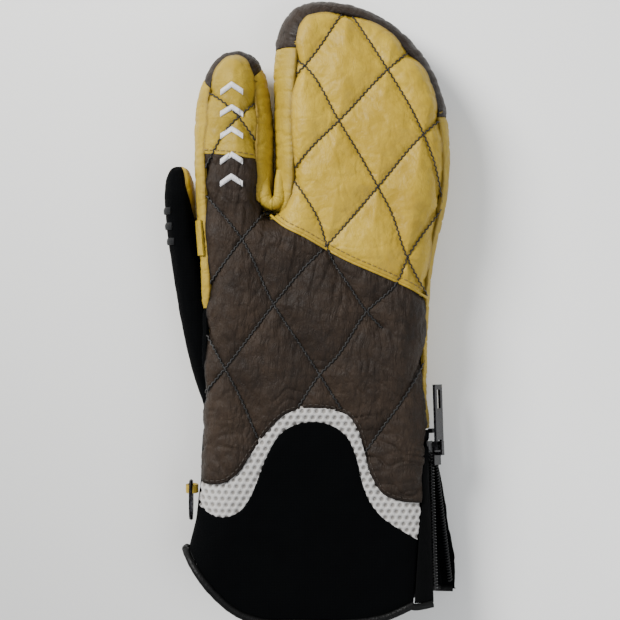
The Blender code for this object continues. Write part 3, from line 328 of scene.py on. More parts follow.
def creases(x, y, angle, spacing, stretch, seed):
    """Fine parallel wrinkles: thin valleys, long along one direction."""
    c, s = math.cos(angle), math.sin(angle)
    u = (x * c + y * s) / spacing
    v = (-x * s + y * c) / (spacing * stretch)
    wander = 0.7 * noise(x / 9.0, y / 9.0, seed + 5)
    n = noise(u + wander, v, seed)
    return -np.exp(-(n / 0.22) ** 2)


# ------------------------------------------------------------------- relief
quilt_lines = [curve(q).points for q in QUILT]
seam_lines = [index_seam.points, hood_seam.points, seam_line.points]
hand_seams = [mesh_up.points, mesh_lo.points]


def relief(p, kind):
    """Height of puffs, valleys and wrinkles over the plain skin, and how close a stitch line is."""
    x, y = p[..., 0], p[..., 1]
    xy = p[..., :2]
    dq = distance(xy, quilt_lines)
    ds = distance(xy, seam_lines)
    soft = 0.75 * fbm(x / 15.0, y / 15.0, 3) + 0.32 * fbm(x / 5.5, y / 5.5, 9)
    near = np.maximum(0.7 * np.exp(-(dq / 1.1) ** 2), np.exp(-(ds / 1.0) ** 2))
    pull = np.exp(-(dq / 5.0) ** 2)
    if kind == "tan":
        h = 2.1 * (1 - np.exp(-(dq / 7.0) ** 2)) - 0.7 * np.exp(-(dq / 1.4) ** 2) - 0.9
        h += 1.0 * (1 - np.exp(-(ds / 2.8) ** 2)) - 0.85 + soft
        fan = 0.5 + 0.5 * noise(x / 14.0, y / 14.0, 21)
        h += 0.30 * fan * creases(x, y, 0.25, 4.6, 4.5, 31) + 0.22 * creases(x, y, 1.4, 6.0, 3.5, 33)
        h += 0.30 * pull * creases(x, y, 0.8, 3.0, 2.6, 35) + 0.22 * pull * creases(x, y, 2.3, 3.2, 2.4, 37)
    elif kind == "brown":
        h = 1.7 * (1 - np.exp(-(dq / 6.5) ** 2)) - 0.6 * np.exp(-(dq / 1.4) ** 2) - 0.75
        h += 0.9 * (1 - np.exp(-(ds / 2.8) ** 2)) - 0.8 + 1.0 * soft
        seam_y = np.interp(x, seam_line.points[:, 0], seam_line.points[:, 1])
        under = np.exp(-np.clip(seam_y - y, 0, None) / 30.0)
        h += (0.22 + 0.55 * under) * creases(x + 0.3 * (seam_y - y), y, 0.12, 3.4, 6.0, 41)
        h += (0.10 + 0.25 * under) * creases(x - 0.2 * (seam_y - y), y, -0.2, 2.6, 6.0, 47)
        low = ease(-y, 14, 60)
        h += 0.75 * low * creases(x, y, 1.45, 6.0, 4.0, 43) + 0.3 * low * creases(x, y, 1.75, 4.0, 4.0, 49)
        h += 0.28 * creases(x, y, 0.9, 4.2, 3.0, 45) + 0.25 * pull * creases(x, y, 2.2, 3.0, 2.6, 51)
        dm = distance(xy, hand_seams)
        h += 0.8 * (1 - np.exp(-(dm / 2.6) ** 2)) - 0.8
        near = np.maximum(near, np.exp(-(dm / 1.2) ** 2))
    return h, near


def back_point(x, y, kind):
    """Finished surface height for thread laid over a panel."""
    p = skin(np.stack([np.asarray(x, float), np.asarray(y, float)], -1))
    h, _ = relief(p, kind)
    p[..., 2] += h
    return p


# ------------------------------------------------------------------ meshes
def to_row(p):
    return (np.asarray(p, float) + HOME) * MM


def new_object(name, verts, faces, material, smooth=True):
    mesh = bpy.data.meshes.new(name)
    mesh.from_pydata([tuple(v) for v in verts], [], faces)
    if smooth:
        mesh.shade_smooth()
    ob = bpy.data.objects.new(name, mesh)
    bpy.context.scene.collection.objects.link(ob)
    mesh.materials.append(material)
    return ob


def shaped(name, shape, look):
    """Object from the verts and faces that tube or gather returns."""
    return new_object(name, to_row(shape[0]), shape[1], look)


def grid_normals(p, out):
    """Unit normals of a grid of points; out is -1 where the grid is wound the other way."""
    ds, dt = np.gradient(p, axis=1), np.gradient(p, axis=0)
    n = np.cross(ds, dt) * out
    return n / np.maximum(np.linalg.norm(n, axis=-1), 1e-9)[..., None]


def sheet_mesh(name, p, material, out=1.0, rim=RIM, shape=None, near=None, shell=False):
    """Dense skin of one panel: raised by shape, its edges rolled under by rim."""
    n = grid_normals(p, out)
    if shape is not None:
        p = p + n * shape[..., None]
        n = grid_normals(p, out)
    h, w = p.shape[:2]
    verts = p.reshape(-1, 3)
    idx = np.arange(h * w).reshape(h, w)
    quads = np.stack([idx[:-1, :-1], idx[:-1, 1:], idx[1:, 1:], idx[1:, :-1]], -1).reshape(-1, 4)
    if out < 0:
        quads = quads[:, ::-1]
    ring = np.concatenate([idx[0, :], idx[1:, -1], idx[-1, -2::-1], idx[-2:0:-1, 0]])
    flat_n = n.reshape(-1, 3)
    low1 = verts[ring] - flat_n[ring] * rim * 0.35
    low2 = verts[ring] - flat_n[ring] * rim
    k, m = len(verts), len(ring)
    faces = [tuple(int(v) for v in f) for f in quads]
    r = list(range(m))
    for a, b in zip(r, r[1:] + r[:1]):
        for upper, lower in (((int(ring[a]), int(ring[b])), (k + a, k + b)),
                             ((k + a, k + b), (k + m + a, k + m + b))):
            f = (upper[0], lower[0], lower[1], upper[1])
            faces.append(f if out > 0 else f[::-1])
    every = np.concatenate((verts, low1, low2))
    ob = new_object(name, to_row(every), faces, material)
    seam = np.zeros(len(every))
    if near is not None:
        seam[:k] = near.reshape(-1)
        seam[k:] = 1.0
    attr = ob.data.attributes.new("seam", "FLOAT", "POINT")
    attr.data.foreach_set("value", seam.astype(np.float32))
    if shell:
        solid = ob.modifiers.new("thickness", "SOLIDIFY")
        solid.thickness = 0.0009
        solid.offset = -1.0
    return ob


def grid(nu, nv, s_stops=None):
    s = np.linspace(0, 1, nu + 1) if s_stops is None else s_stops
    return np.meshgrid(s, np.linspace(0, 1, nv + 1))


def back_panel(name, left, right, bottom, top, nu, nv, material, kind, wrap=(0, 0), upper=True,
               extra=None, s_stops=None, rim=RIM, shell=False):
    s, t = grid(nu, nv, s_stops)
    if wrap != (0, 0):
        wide = np.linalg.norm(left(0.5)[:2] - right(0.5)[:2])
        s = round_in(s, wide, *wrap)
    p = skin(coons(left, right, bottom, top)(s, t), upper)
    if extra is not None:
        shape, near = extra(p, s, t)
    else:
        shape, near = relief(p, kind)
    return sheet_mesh(name, p, material, 1.0 if upper else -1.0, rim, shape, near, shell)


def wall(edge, side, t0, t1, nu, nv, low=SIDE_LOW, slant=(0.0, 0.0)):
    """Rounded side between the seam of the back and the palm, along part of an outline."""
    s, t = grid(nu, nv)
    q0, q1 = t0 + slant[0] / edge.length * (1 - t), t1 + slant[1] / edge.length * (1 - t)
    q = q0 + (q1 - q0) * s
    p = edge(q)
    top_turn = np.arccos(np.clip(1 - p[..., 2] / EDGE_RADIUS, -1, 1))
    turn = np.radians(low) + (top_turn - np.radians(low)) * t
    e = 1e-3
    d = edge(np.clip(q + e, 0, 1))[..., :2] - edge(np.clip(q - e, 0, 1))[..., :2]
    d /= np.linalg.norm(d, axis=-1)[..., None]
    normal = side * np.stack([-d[..., 1], d[..., 0]], -1)
    xy = p[..., :2] + normal * (EDGE_RADIUS * (1 - np.cos(turn)))[..., None]
    x, y = xy[..., 0], xy[..., 1]
    e0 = edge_level(x, y)
    z = np.where(turn > 0, e0 + (crown(y) - e0) * np.sin(turn),
                 e0 + (e0 - floor_level(x, y)) * np.sin(turn))
    return np.concatenate([xy, z[..., None]], -1), s, t, q


def side_panel(name, edge, side, t0, t1, nu, nv, material, low=SIDE_LOW,
               seed=60, puff=1.0, bunch=0.35, slant=(0.0, 0.0)):
    p, s, t, q = wall(edge, side, t0, t1, nu, nv, low, slant)
    length = abs(t1 - t0) * edge.length
    along = q * edge.length
    roll = np.minimum(t, 1 - t)
    width = 22.0
    h = puff * (1 - np.exp(-(roll * width / 2.6) ** 2)) - 0.75
    ends = np.minimum(s, 1 - s) * length
    h += 0.45 * (1 - np.exp(-(ends / 1.8) ** 2)) - 0.45
    h += 0.45 * fbm(along / 13.0, t * 1.6, seed) + 0.2 * fbm(along / 4.0, t * 3, seed + 3)
    h += bunch * creases(along, t * 22.0, 0.15, 2.6, 3.5, seed + 7)
    near = np.exp(-(roll * width / 1.3) ** 2)
    return sheet_mesh(name, p, material, side, RIM, h, near)


# ---------------------------------------------------------------- materials
def material(name, rough, metallic=0.0, specular=0.5):
    m = bpy.data.materials.new(name)
    m.use_nodes = True
    bsdf = m.node_tree.nodes["Principled BSDF"]
    bsdf.inputs["Roughness"].default_value = rough
    bsdf.inputs["Metallic"].default_value = metallic
    bsdf.inputs["Specular IOR Level"].default_value = specular
    return m, m.node_tree, bsdf


def node(tree, kind, **values):
    n = tree.nodes.new(kind)
    for key, value in values.items():
        if key in n.inputs:
            n.inputs[key].default_value = value
        else:
            setattr(n, key, value)
    return n


def scaled_coords(tree, scale=(1000, 1000, 1000)):
    """Object coordinates in millimetres."""
    tc = node(tree, "ShaderNodeTexCoord")
    mp = node(tree, "ShaderNodeMapping")
    mp.inputs["Scale"].default_value = scale
    tree.links.new(tc.outputs["Object"], mp.inputs["Vector"])
    return mp.outputs["Vector"]


def noise_tex(tree, coords, scale, detail=4.0, rough=0.55):
    n = node(tree, "ShaderNodeTexNoise", Scale=scale, Detail=detail, Roughness=rough)
    tree.links.new(coords, n.inputs["Vector"])
    return n.outputs["Fac"]


def remap(tree, value, lo, hi, a=0.0, b=1.0):
    m = node(tree, "ShaderNodeMapRange")
    for key, v in zip(("From Min", "From Max", "To Min", "To Max"), (lo, hi, a, b)):
        m.inputs[key].default_value = v
    tree.links.new(value, m.inputs["Value"])
    return m.outputs["Result"]


def mix(tree, fac, a, b, blend="MIX"):
    m = node(tree, "ShaderNodeMix")
    m.data_type = "RGBA"
    m.blend_type = blend
    for socket, v in (("Factor", fac), ("A", a), ("B", b)):
        ins = [i for i in m.inputs if i.name == socket and (i.type == "RGBA" or socket == "Factor")][0]
        if hasattr(v, "is_linked") or hasattr(v, "links"):
            tree.links.new(v, ins)
        elif socket == "Factor":
            ins.default_value = v
        else:
            ins.default_value = (*v, 1.0)
    return [o for o in m.outputs if o.type == "RGBA"][0]


def bump(tree, bsdf, height, strength, dist):
    b = node(tree, "ShaderNodeBump", Strength=strength, Distance=dist)
    tree.links.new(height, b.inputs["Height"])
    tree.links.new(b.outputs["Normal"], bsdf.inputs["Normal"])


def math_node(tree, op, a, b):
    """One shader sum; a and b are numbers or sockets."""
    m = node(tree, "ShaderNodeMath")
    m.operation = op
    for k, v in enumerate((a, b)):
        if isinstance(v, (int, float)):
            m.inputs[k].default_value = v
        else:
            tree.links.new(v, m.inputs[k])
    return m.outputs[0]


def leather(name, light, dark, crease_seam_shade, rough, grain=0.9, strength=0.35, seam_dark=0.75, lines=0.5, stretch=0.5,
            turn=0.2, streak=0.0, specular=0.3):
    """Full-grain leather: cloudy colour, pebbled pores, a net of fine creases, painted shade in the creases
    and along the seams and rolled-under edges.
    """
    m, tree, bsdf = material(name, rough, specular=specular)
    xyz = scaled_coords(tree)
    cloud = noise_tex(tree, xyz, 0.035, 5.0, 0.6)
    small = noise_tex(tree, xyz, 0.2, 5.0, 0.62)
    tone = remap(tree, math_node(tree, "ADD", math_node(tree, "MULTIPLY", cloud, 0.6),
                                 math_node(tree, "MULTIPLY", small, 0.4)), 0.38, 0.62)
    colour = mix(tree, tone, dark, light)
    wander = node(tree, "ShaderNodeTexNoise", Scale=0.16, Detail=3.0)
    tree.links.new(xyz, wander.inputs["Vector"])
    shift = node(tree, "ShaderNodeVectorMath")
    shift.operation = "MULTIPLY_ADD"
    tree.links.new(wander.outputs["Color"], shift.inputs[0])
    shift.inputs[1].default_value = (5.0, 5.0, 5.0)
    tree.links.new(xyz, shift.inputs[2])
    bent = node(tree, "ShaderNodeMapping")
    bent.inputs["Rotation"].default_value = (0.0, 0.0, turn)
    bent.inputs["Scale"].default_value = (1.0, stretch, 1.0)
    tree.links.new(shift.outputs[0], bent.inputs["Vector"])
    nets = []
    for scale in (0.22, 0.55):
        net = node(tree, "ShaderNodeTexVoronoi", Scale=scale)
        net.feature = "DISTANCE_TO_EDGE"
        tree.links.new(bent.outputs["Vector"], net.inputs["Vector"])
        nets.append(remap(tree, net.outputs["Distance"], 0.0, 0.11))
    patchy = remap(tree, noise_tex(tree, xyz, 0.07, 3.0), 0.42, 0.6, 0.15, 1.0)
    crease = math_node(tree, "ADD", math_node(tree, "MULTIPLY", nets[0], 0.6),
                       math_node(tree, "MULTIPLY", nets[1], 0.4))
    crease = math_node(tree, "MULTIPLY", math_node(tree, "SUBTRACT", 1.0, crease), patchy)
    # painted shade: the colour darkens along the creases
    colour = mix(tree, math_node(tree, "MULTIPLY", crease, 0.45 * lines), colour, crease_seam_shade)
    pores = node(tree, "ShaderNodeTexVoronoi", Scale=grain)
    tree.links.new(xyz, pores.inputs["Vector"])
    cells = remap(tree, pores.outputs["Distance"], 0.0, 0.75)
    # painted shade: darker near stitch lines and on the rolled-under rims, where the seam attribute is high
    seam = node(tree, "ShaderNodeAttribute", attribute_name="seam")
    painted_seam_shade = remap(tree, math_node(tree, "MULTIPLY", seam.outputs["Fac"],
                                 remap(tree, small, 0.3, 0.7, 0.7, 1.0)), 0.2, 1.0, 0.0, seam_dark)
    colour = mix(tree, painted_seam_shade, colour, crease_seam_shade)
    tree.links.new(colour, bsdf.inputs["Base Color"])
    height = math_node(tree, "ADD", math_node(tree, "MULTIPLY", cells, -0.35),
                       math_node(tree, "MULTIPLY", noise_tex(tree, xyz, 0.6, 4.0, 0.6), 0.9))
    height = math_node(tree, "SUBTRACT", height, math_node(tree, "MULTIPLY", crease, 1.6 * lines))
    if streak:
        drawn = node(tree, "ShaderNodeMapping")
        drawn.inputs["Rotation"].default_value = (0.0, 0.0, -turn)
        drawn.inputs["Scale"].default_value = (0.75, 0.075, 0.2)
        tree.links.new(shift.outputs[0], drawn.inputs["Vector"])
        lines_tex = noise_tex(tree, drawn.outputs["Vector"], 1.0, 4.0, 0.6)
        height = math_node(tree, "ADD", height, math_node(tree, "MULTIPLY", lines_tex, 3.2 * streak))
    bump(tree, bsdf, height, strength, 0.0004)
    dull = math_node(tree, "ADD", small, math_node(tree, "MULTIPLY", crease, 0.3))
    tree.links.new(remap(tree, dull, 0.3, 0.9, rough - 0.10, rough + 0.14), bsdf.inputs["Roughness"])
    return m


def fabric(name, light, dark, rough, pitch=0.6, strength=0.5, sheen=0.3, angle=0.0, specular=0.25):
    """Fine knit: rows of tiny stitches."""
    m, tree, bsdf = material(name, rough, specular=specular)
    xyz = scaled_coords(tree)
    rot = node(tree, "ShaderNodeMapping")
    rot.inputs["Rotation"].default_value = (0.0, 0.0, angle)
    tree.links.new(xyz, rot.inputs["Vector"])
    waves = []
    for axis in ("X", "Y"):
        w = node(tree, "ShaderNodeTexWave", Scale=0.31 / pitch, Distortion=1.2)
        w.bands_direction = axis
        w.inputs["Detail Scale"].default_value = 2.0
        tree.links.new(rot.outputs["Vector"], w.inputs["Vector"])
        waves.append(w.outputs["Fac"])
    weave = math_node(tree, "MULTIPLY", waves[0], waves[1])
    cloud = noise_tex(tree, xyz, 0.09, 4.0, 0.6)
    tone = math_node(tree, "ADD", math_node(tree, "MULTIPLY", weave, 0.6),
                     math_node(tree, "MULTIPLY", cloud, 0.5))
    tree.links.new(mix(tree, remap(tree, tone, 0.15, 0.8), dark, light), bsdf.inputs["Base Color"])
    fuzz = noise_tex(tree, xyz, 2.6, 3.0, 0.7)
    bump(tree, bsdf, math_node(tree, "ADD", weave, math_node(tree, "MULTIPLY", fuzz, 0.6)), strength, 0.00022)
    bsdf.inputs["Sheen Weight"].default_value = sheen
    bsdf.inputs["Sheen Roughness"].default_value = 0.5
    return m


def spacer(name):
    """White warp-knit net: pale threads, holes that fall away into shade."""
    m, tree, bsdf = material(name, 0.75, specular=0.3)
    xyz = scaled_coords(tree)
    hole = node(tree, "ShaderNodeAttribute", attribute_name="seam")
    strands = node(tree, "ShaderNodeTexWave", Scale=1.1, Distortion=3.0)
    tree.links.new(xyz, strands.inputs["Vector"])
    base = mix(tree, remap(tree, strands.outputs["Fac"], 0.2, 0.9), (0.38, 0.365, 0.35), (0.54, 0.53, 0.52))
    colour = mix(tree, remap(tree, hole.outputs["Fac"], 0.3, 1.0), base, (0.24, 0.225, 0.21))
    tree.links.new(colour, bsdf.inputs["Base Color"])
    bump(tree, bsdf, strands.outputs["Fac"], 0.4, 0.0002)
    return m


def thread_material(name, colour, rough=0.5):
    m, tree, bsdf = material(name, rough)
    xyz = scaled_coords(tree)
    twist = node(tree, "ShaderNodeTexWave", Scale=1.6, Distortion=0.5)
    twist.bands_direction = "DIAGONAL"
    tree.links.new(xyz, twist.inputs["Vector"])
    shade = tuple(c * 0.72 for c in colour)
    tree.links.new(mix(tree, twist.outputs["Fac"], shade, colour), bsdf.inputs["Base Color"])
    bump(tree, bsdf, twist.outputs["Fac"], 0.4, 0.00015)
    return m


def metal(name, colour, rough):
    m, tree, bsdf = material(name, rough, 1.0)
    xyz = scaled_coords(tree)
    wear = noise_tex(tree, xyz, 0.5, 5.0, 0.65)
    tree.links.new(mix(tree, remap(tree, wear, 0.4, 0.7), colour, tuple(min(1, c * 1.7) for c in colour)),
                   bsdf.inputs["Base Color"])
    tree.links.new(remap(tree, wear, 0.3, 0.7, rough - 0.08, rough + 0.12), bsdf.inputs["Roughness"])
    bump(tree, bsdf, noise_tex(tree, xyz, 1.6, 3.0), 0.15, 0.0001)
    return m


def plastic(name, colour, rough, specular=0.5):
    m, tree, bsdf = material(name, rough, specular=specular)
    xyz = scaled_coords(tree)
    spots = noise_tex(tree, xyz, 0.8, 4.0, 0.6)
    tree.links.new(mix(tree, remap(tree, spots, 0.3, 0.7), tuple(c * 0.7 for c in colour), colour),
                   bsdf.inputs["Base Color"])
    bump(tree, bsdf, spots, 0.2, 0.0001)
    return m


# The third colour of each leather is its painted shade, for creases, seams and rolled-under edges.
TAN = leather("tan_leather_mat", (0.455, 0.308, 0.026), (0.330, 0.212, 0.016),
              (0.11, 0.062, 0.008), 0.50,
              strength=0.34, seam_dark=0.66, lines=0.42, streak=0.35, specular=0.24)
TAN_SIDE = leather("tan_sidewall_mat", (0.400, 0.278, 0.026), (0.285, 0.190, 0.016),
                   (0.095, 0.054, 0.008), 0.54,
                   grain=1.15, strength=0.36, seam_dark=0.75, lines=0.5, stretch=0.35, streak=0.3,
                   specular=0.22)
INDEX_TAN = leather("index_tan_mat", (0.385, 0.265, 0.022), (0.280, 0.188, 0.015),
                    (0.095, 0.056, 0.008), 0.54,
                    grain=1.1, strength=0.34, seam_dark=0.65, lines=0.5, stretch=1.4, specular=0.22)
BROWN = leather("brown_leather_mat", (0.0320, 0.0205, 0.0130), (0.0140, 0.0090, 0.0060),
                (0.003, 0.002, 0.0017), 0.60,
                grain=0.95, strength=0.50, seam_dark=0.85, lines=0.7, stretch=0.3, turn=0.15, streak=1.7,
                specular=0.16)
CAP = leather("cap_leather_mat", (0.026, 0.0165, 0.0105), (0.012, 0.0080, 0.0055),
              (0.003, 0.002, 0.0015), 0.52,
              grain=1.1, strength=0.45, seam_dark=0.7, lines=0.7, specular=0.16)
PALM = leather("palm_leather_mat", (0.45, 0.315, 0.080), (0.34, 0.230, 0.052), (0.14, 0.085, 0.022), 0.6,
               grain=0.9, strength=0.5, seam_dark=0.6, lines=0.7)
SOFTSHELL = fabric("black_softshell_mat", (0.0012, 0.0015, 0.0018), (0.0005, 0.0006, 0.0008), 0.95, pitch=0.7,
                   strength=0.5, sheen=0.0, specular=0.05)
BINDING = leather("binding_mat", (0.004, 0.004, 0.004), (0.002, 0.002, 0.002), (0.001, 0.001, 0.001), 0.46,
                  grain=1.0, strength=0.5, specular=0.14)
FLEECE = fabric("fleece_mat", (0.060, 0.056, 0.054), (0.025, 0.023, 0.022), 1.0, pitch=1.6, strength=1.0,
                sheen=0.3)
SPACER = spacer("spacer_mesh_mat")
BLACK_THREAD = thread_material("black_thread_mat", (0.006, 0.005, 0.0045))
TAN_THREAD = thread_material("tan_thread_mat", (0.22, 0.145, 0.035))
BROWN_THREAD = thread_material("brown_thread_mat", (0.030, 0.020, 0.013))
WHITE_THREAD = thread_material("white_thread_mat", (0.86, 0.85, 0.86), 0.34)
NICKEL = metal("black_nickel_mat", (0.016, 0.016, 0.018), 0.24)
CHAIN = plastic("zip_chain_mat", (0.004, 0.004, 0.0045), 0.34)
TAPE_MAT = fabric("zip_tape_mat", (0.0016, 0.0018, 0.0021), (0.0008, 0.0009, 0.0010), 0.85, pitch=0.5,
                  sheen=0.0, specular=0.07)
RUBBER = plastic("grip_rubber_mat", (0.0060, 0.0065, 0.0072), 0.65, 0.15)


def hand_to(ob):
    """Bakes the piece's placement into its mesh."""
    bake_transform(ob)


def place(ob, body, slot, *nodes):
    """Ties a piece to one body and hides the CAD nodes that it stands for; the slot argument is not used."""
    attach(ob, body)
    if nodes:
        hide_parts(*nodes)


# ------------------------------------------------------------- back panels
left = join(straight(COLOUR_SEAM[0], hood_seam(where_y(hood_seam, 47.0, True))[:2], 12),
            run(hood_seam, 47.0, 121.0, True))
right = run(hood_seam, 5.4, 90.0, False)
hood_back = back_panel("hood_back_leather", left, right,
                       join(seam_line, straight(seam_line(1.0)[:2], right(0.0)[:2], 3)),
                       tip(hood_seam, 121.0, 90.0, True), 150, 190, TAN, "tan")
hand_to(hood_back)
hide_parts("hood_back_panel", "tan_knuckle_panel")

brown_left = run(index_seam, -78.9, 43.4, False)
brown_left = polyline(np.concatenate(([mesh_up(0)[:2]], brown_left.points[1:, :2])))
z_mesh_up, z_mesh_lo = where_y(zip_seam, -87.6, False), where_y(zip_seam, -104.6, False)
brown_right = turned(cut(zip_seam, 0, z_mesh_up))
top_line = join(straight(brown_left(1.0)[:2], COLOUR_SEAM[0]), seam_line)
corner = np.linalg.norm(np.array(COLOUR_SEAM[0]) - brown_left(1.0)[:2]) / top_line.length
N1, N2 = 52, 120
stops = np.concatenate((np.linspace(0, corner, N1 + 1), np.linspace(corner, 1, N2 + 1)[1:]))
s, t = grid(0, 190, stops)
hand_part = skin(coons(brown_left, brown_right, mesh_up, top_line)(s, t))
index_left = run(index_seam, 43.4, 71.2, False)
index_right = join(straight(COLOUR_SEAM[0], index_seam(where_y(index_seam, 47.0, True))[:2], 8),
                   run(index_seam, 47.0, 68.6, True))
s2, t2 = grid(N1, 44)
index_part = skin(coons(index_left, index_right, straight(index_left(0.0)[:2], COLOUR_SEAM[0]),
                        straight(index_left(1.0)[:2], index_right(1.0)[:2]))(s2, t2))


def brown_mesh():
    """Hand part and index part as one sheet of leather, sewn along their shared row."""
    both = []
    for part_points in (hand_part, index_part):
        h, near = relief(part_points, "brown")
        p = part_points + grid_normals(part_points, 1.0) * h[..., None]
        both.append((p, near))
    (pa, na), (pb, nb) = both
    pb[0] = pa[-1, :N1 + 1]
    verts = np.concatenate((pa.reshape(-1, 3), pb[1:].reshape(-1, 3)))
    near = np.concatenate((na.reshape(-1), nb[1:].reshape(-1)))
    w, h = pa.shape[1], pa.shape[0]
    ia = np.arange(w * h).reshape(h, w)
    ib = np.concatenate((ia[-1:, :N1 + 1], (w * h + np.arange(44 * (N1 + 1))).reshape(44, N1 + 1)))
    faces = []
    for idx in (ia, ib):
        q = np.stack([idx[:-1, :-1], idx[:-1, 1:], idx[1:, 1:], idx[1:, :-1]], -1).reshape(-1, 4)
        faces += [tuple(int(v) for v in f) for f in q]
    ring = np.concatenate([ia[0, :], ia[1:, -1], ia[-1, -2:N1 - 1:-1], ib[1:, -1], ib[-1, -2::-1],
                           ib[-2:0:-1, 0], ia[-1:0:-1, 0]])
    na_, nb_ = grid_normals(pa, 1.0), grid_normals(pb, 1.0)
    normals = np.concatenate((na_.reshape(-1, 3), nb_[1:].reshape(-1, 3)))
    k, m = len(verts), len(ring)
    low = verts[ring] - normals[ring] * RIM
    for a in range(m):
        b = (a + 1) % m
        faces.append((int(ring[a]), k + a, k + b, int(ring[b])))
    ob = new_object("brown_back_leather", to_row(np.concatenate((verts, low))), faces, BROWN)
    attr = ob.data.attributes.new("seam", "FLOAT", "POINT")
    attr.data.foreach_set("value", np.concatenate((near, np.ones(m))).astype(np.float32))
    return ob


brown = brown_mesh()
hand_to(brown)
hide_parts("brown_back_panel", "index_back_lower")

tan_left, tan_right = run(index_seam, 71.2, 103.0, False), run(index_seam, 68.6, 104.0, True)
index_back = back_panel("index_back_leather", tan_left, tan_right,
                        straight(tan_left(0.0)[:2], tan_right(0.0)[:2]),
                        tip(index_seam, 103.0, 104.0, False), 54, 96, INDEX_TAN, "tan")
place(index_back, "index", "tan_leather", "index_back_upper")

# --------------------------------------------------------------- side walls
SLANT = 12.0
ix_r_tip, ix_l_tip = where_y(index_edge, 107.5, True), where_y(index_edge, 103.0, False)
hd_l_tip, hd_r_tip = where_y(hood_edge, 120.0, True), where_y(hood_edge, 89.0, False)
index_inner = side_panel("index_inner_sidewall_leather", index_edge, 1, 0.0, ix_r_tip, 120, 36, TAN_SIDE,
                         seed=61, bunch=0.4, slant=(0.0, SLANT))
hand_to(index_inner)
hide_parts("index_inner_sidewall")
index_cap = side_panel("index_tip_cap_leather", index_edge, 1, ix_r_tip, ix_l_tip, 90, 34, CAP,
                       seed=63, slant=(SLANT, -SLANT))
place(index_cap, "index", "cap_leather", "index_tip_cap")
index_outer = side_panel("index_outer_sidewall_leather", index_edge, 1, ix_l_tip,
                         where_y(index_edge, 1.0, False), 200, 34, TAN_SIDE, seed=65, slant=(-SLANT, 0.0))
hand_to(index_outer)
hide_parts("index_outer_sidewall", "thumb_side_strip", "index_knuckle_fold")
thumb_opening = side_panel("thumb_opening_softshell", index_edge, 1, where_y(index_edge, 1.0, False),
                           where_y(index_edge, -27.0, False), 40, 34, SOFTSHELL, seed=66, bunch=0.1)
place(thumb_opening, "hand", "black_softshell")
hood_inner = side_panel("hood_inner_sidewall_leather", hood_edge, -1, 0.0, hd_l_tip, 120, 34, TAN_SIDE,
                        seed=67, bunch=0.35)
hand_to(hood_inner)
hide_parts("hood_inner_sidewall")
hood_cap = side_panel("hood_tip_cap_leather", hood_edge, -1, hd_l_tip, hd_r_tip, 170, 34, CAP, seed=69)
place(hood_cap, "hood", "cap_leather", "hood_tip_cap")
hood_outer = side_panel("hood_outer_sidewall_leather", hood_edge, -1, hd_r_tip,
                        where_y(hood_edge, CUFF_TOP, False), 200, 30, TAN_SIDE, seed=71)
hand_to(hood_outer)
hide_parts("hood_outer_sidewall", "little_finger_side_strip", "hood_knuckle_fold")


# Rolled fold where the two inner side walls meet, at the bottom of the slot.
def crotch_fold(name, side):
    """Thick U-bend of leather; side is -1 for the index half and 1 for the hood half."""
    u, turn = np.meshgrid(np.linspace(0, 1, 60), np.linspace(0, 2 * math.pi, 41)[:-1], indexing="ij")
    bend = np.clip(u / 0.45, 0, 1) * math.pi / 2
    leg = np.clip((u - 0.45) / 0.55, 0, 1)
    radius, slot_x = 3.35, -16.9
    centre_x = slot_x + side * (radius + 0.3 * leg) * np.sin(bend)
    centre_y = 52.2 - radius * np.cos(bend) + 12.0 * leg
    ruck = 0.35 * creases(u * 14.0, turn * 1.2, 0.0, 1.5, 4.0, 77 + side) * (1 - leg) \
        + 0.25 * fbm(u * 4.0, turn, 79 + side)
    rr = 3.2 - 1.3 * leg + ruck
    x = centre_x + side * rr * np.cos(turn) * np.sin(bend)
    y = centre_y - rr * np.cos(turn) * np.cos(bend)
    z = 29.2 - 3.6 * leg ** 1.3 + rr * 1.15 * np.sin(turn)
    x = slot_x + side * np.maximum((x - slot_x) * side, 0.12)
    p = np.stack([x, y, z], -1)
    n, m = p.shape[:2]
    faces = [(i * m + k, i * m + (k + 1) % m, (i + 1) * m + (k + 1) % m, (i + 1) * m + k)
             for i in range(n - 1) for k in range(m)]
    faces += [tuple(range(m - 1, -1, -1)), tuple((n - 1) * m + k for k in range(m))]
    if side > 0:
        faces = [f[::-1] for f in faces]
    ob = new_object(name, to_row(p.reshape(-1, 3)), faces, TAN_SIDE)
    middle = sum((f.center for f in ob.data.polygons), Vector()) / len(ob.data.polygons)
    if sum((f.center - middle).dot(f.normal) * f.area for f in ob.data.polygons) < 0:
        ob.data.flip_normals()
    hand_to(ob)


crotch_fold("crotch_fold_index", -1)
crotch_fold("crotch_fold_hood", 1)

# -------------------------------------------------------------------- palm
def palm_shape(p, s, t):
    x, y = p[..., 0], p[..., 1]
    border = np.minimum(np.minimum(s, 1 - s) * 60, np.minimum(t, 1 - t) * 60)
    h = 0.35 * fbm(x / 14, y / 14, 81) + 0.15 * creases(x, y, 1.3, 3.0, 4.0, 83) - 0.4
    return h - 0.5 * np.exp(-(border / 2.0) ** 2), np.exp(-(border / 1.3) ** 2)


def palm_part(name, left, right, bottom, top, nu, nv, **kw):
    return back_panel(name, left, right, bottom, top, nu, nv, PALM, "", upper=False, extra=palm_shape, **kw)


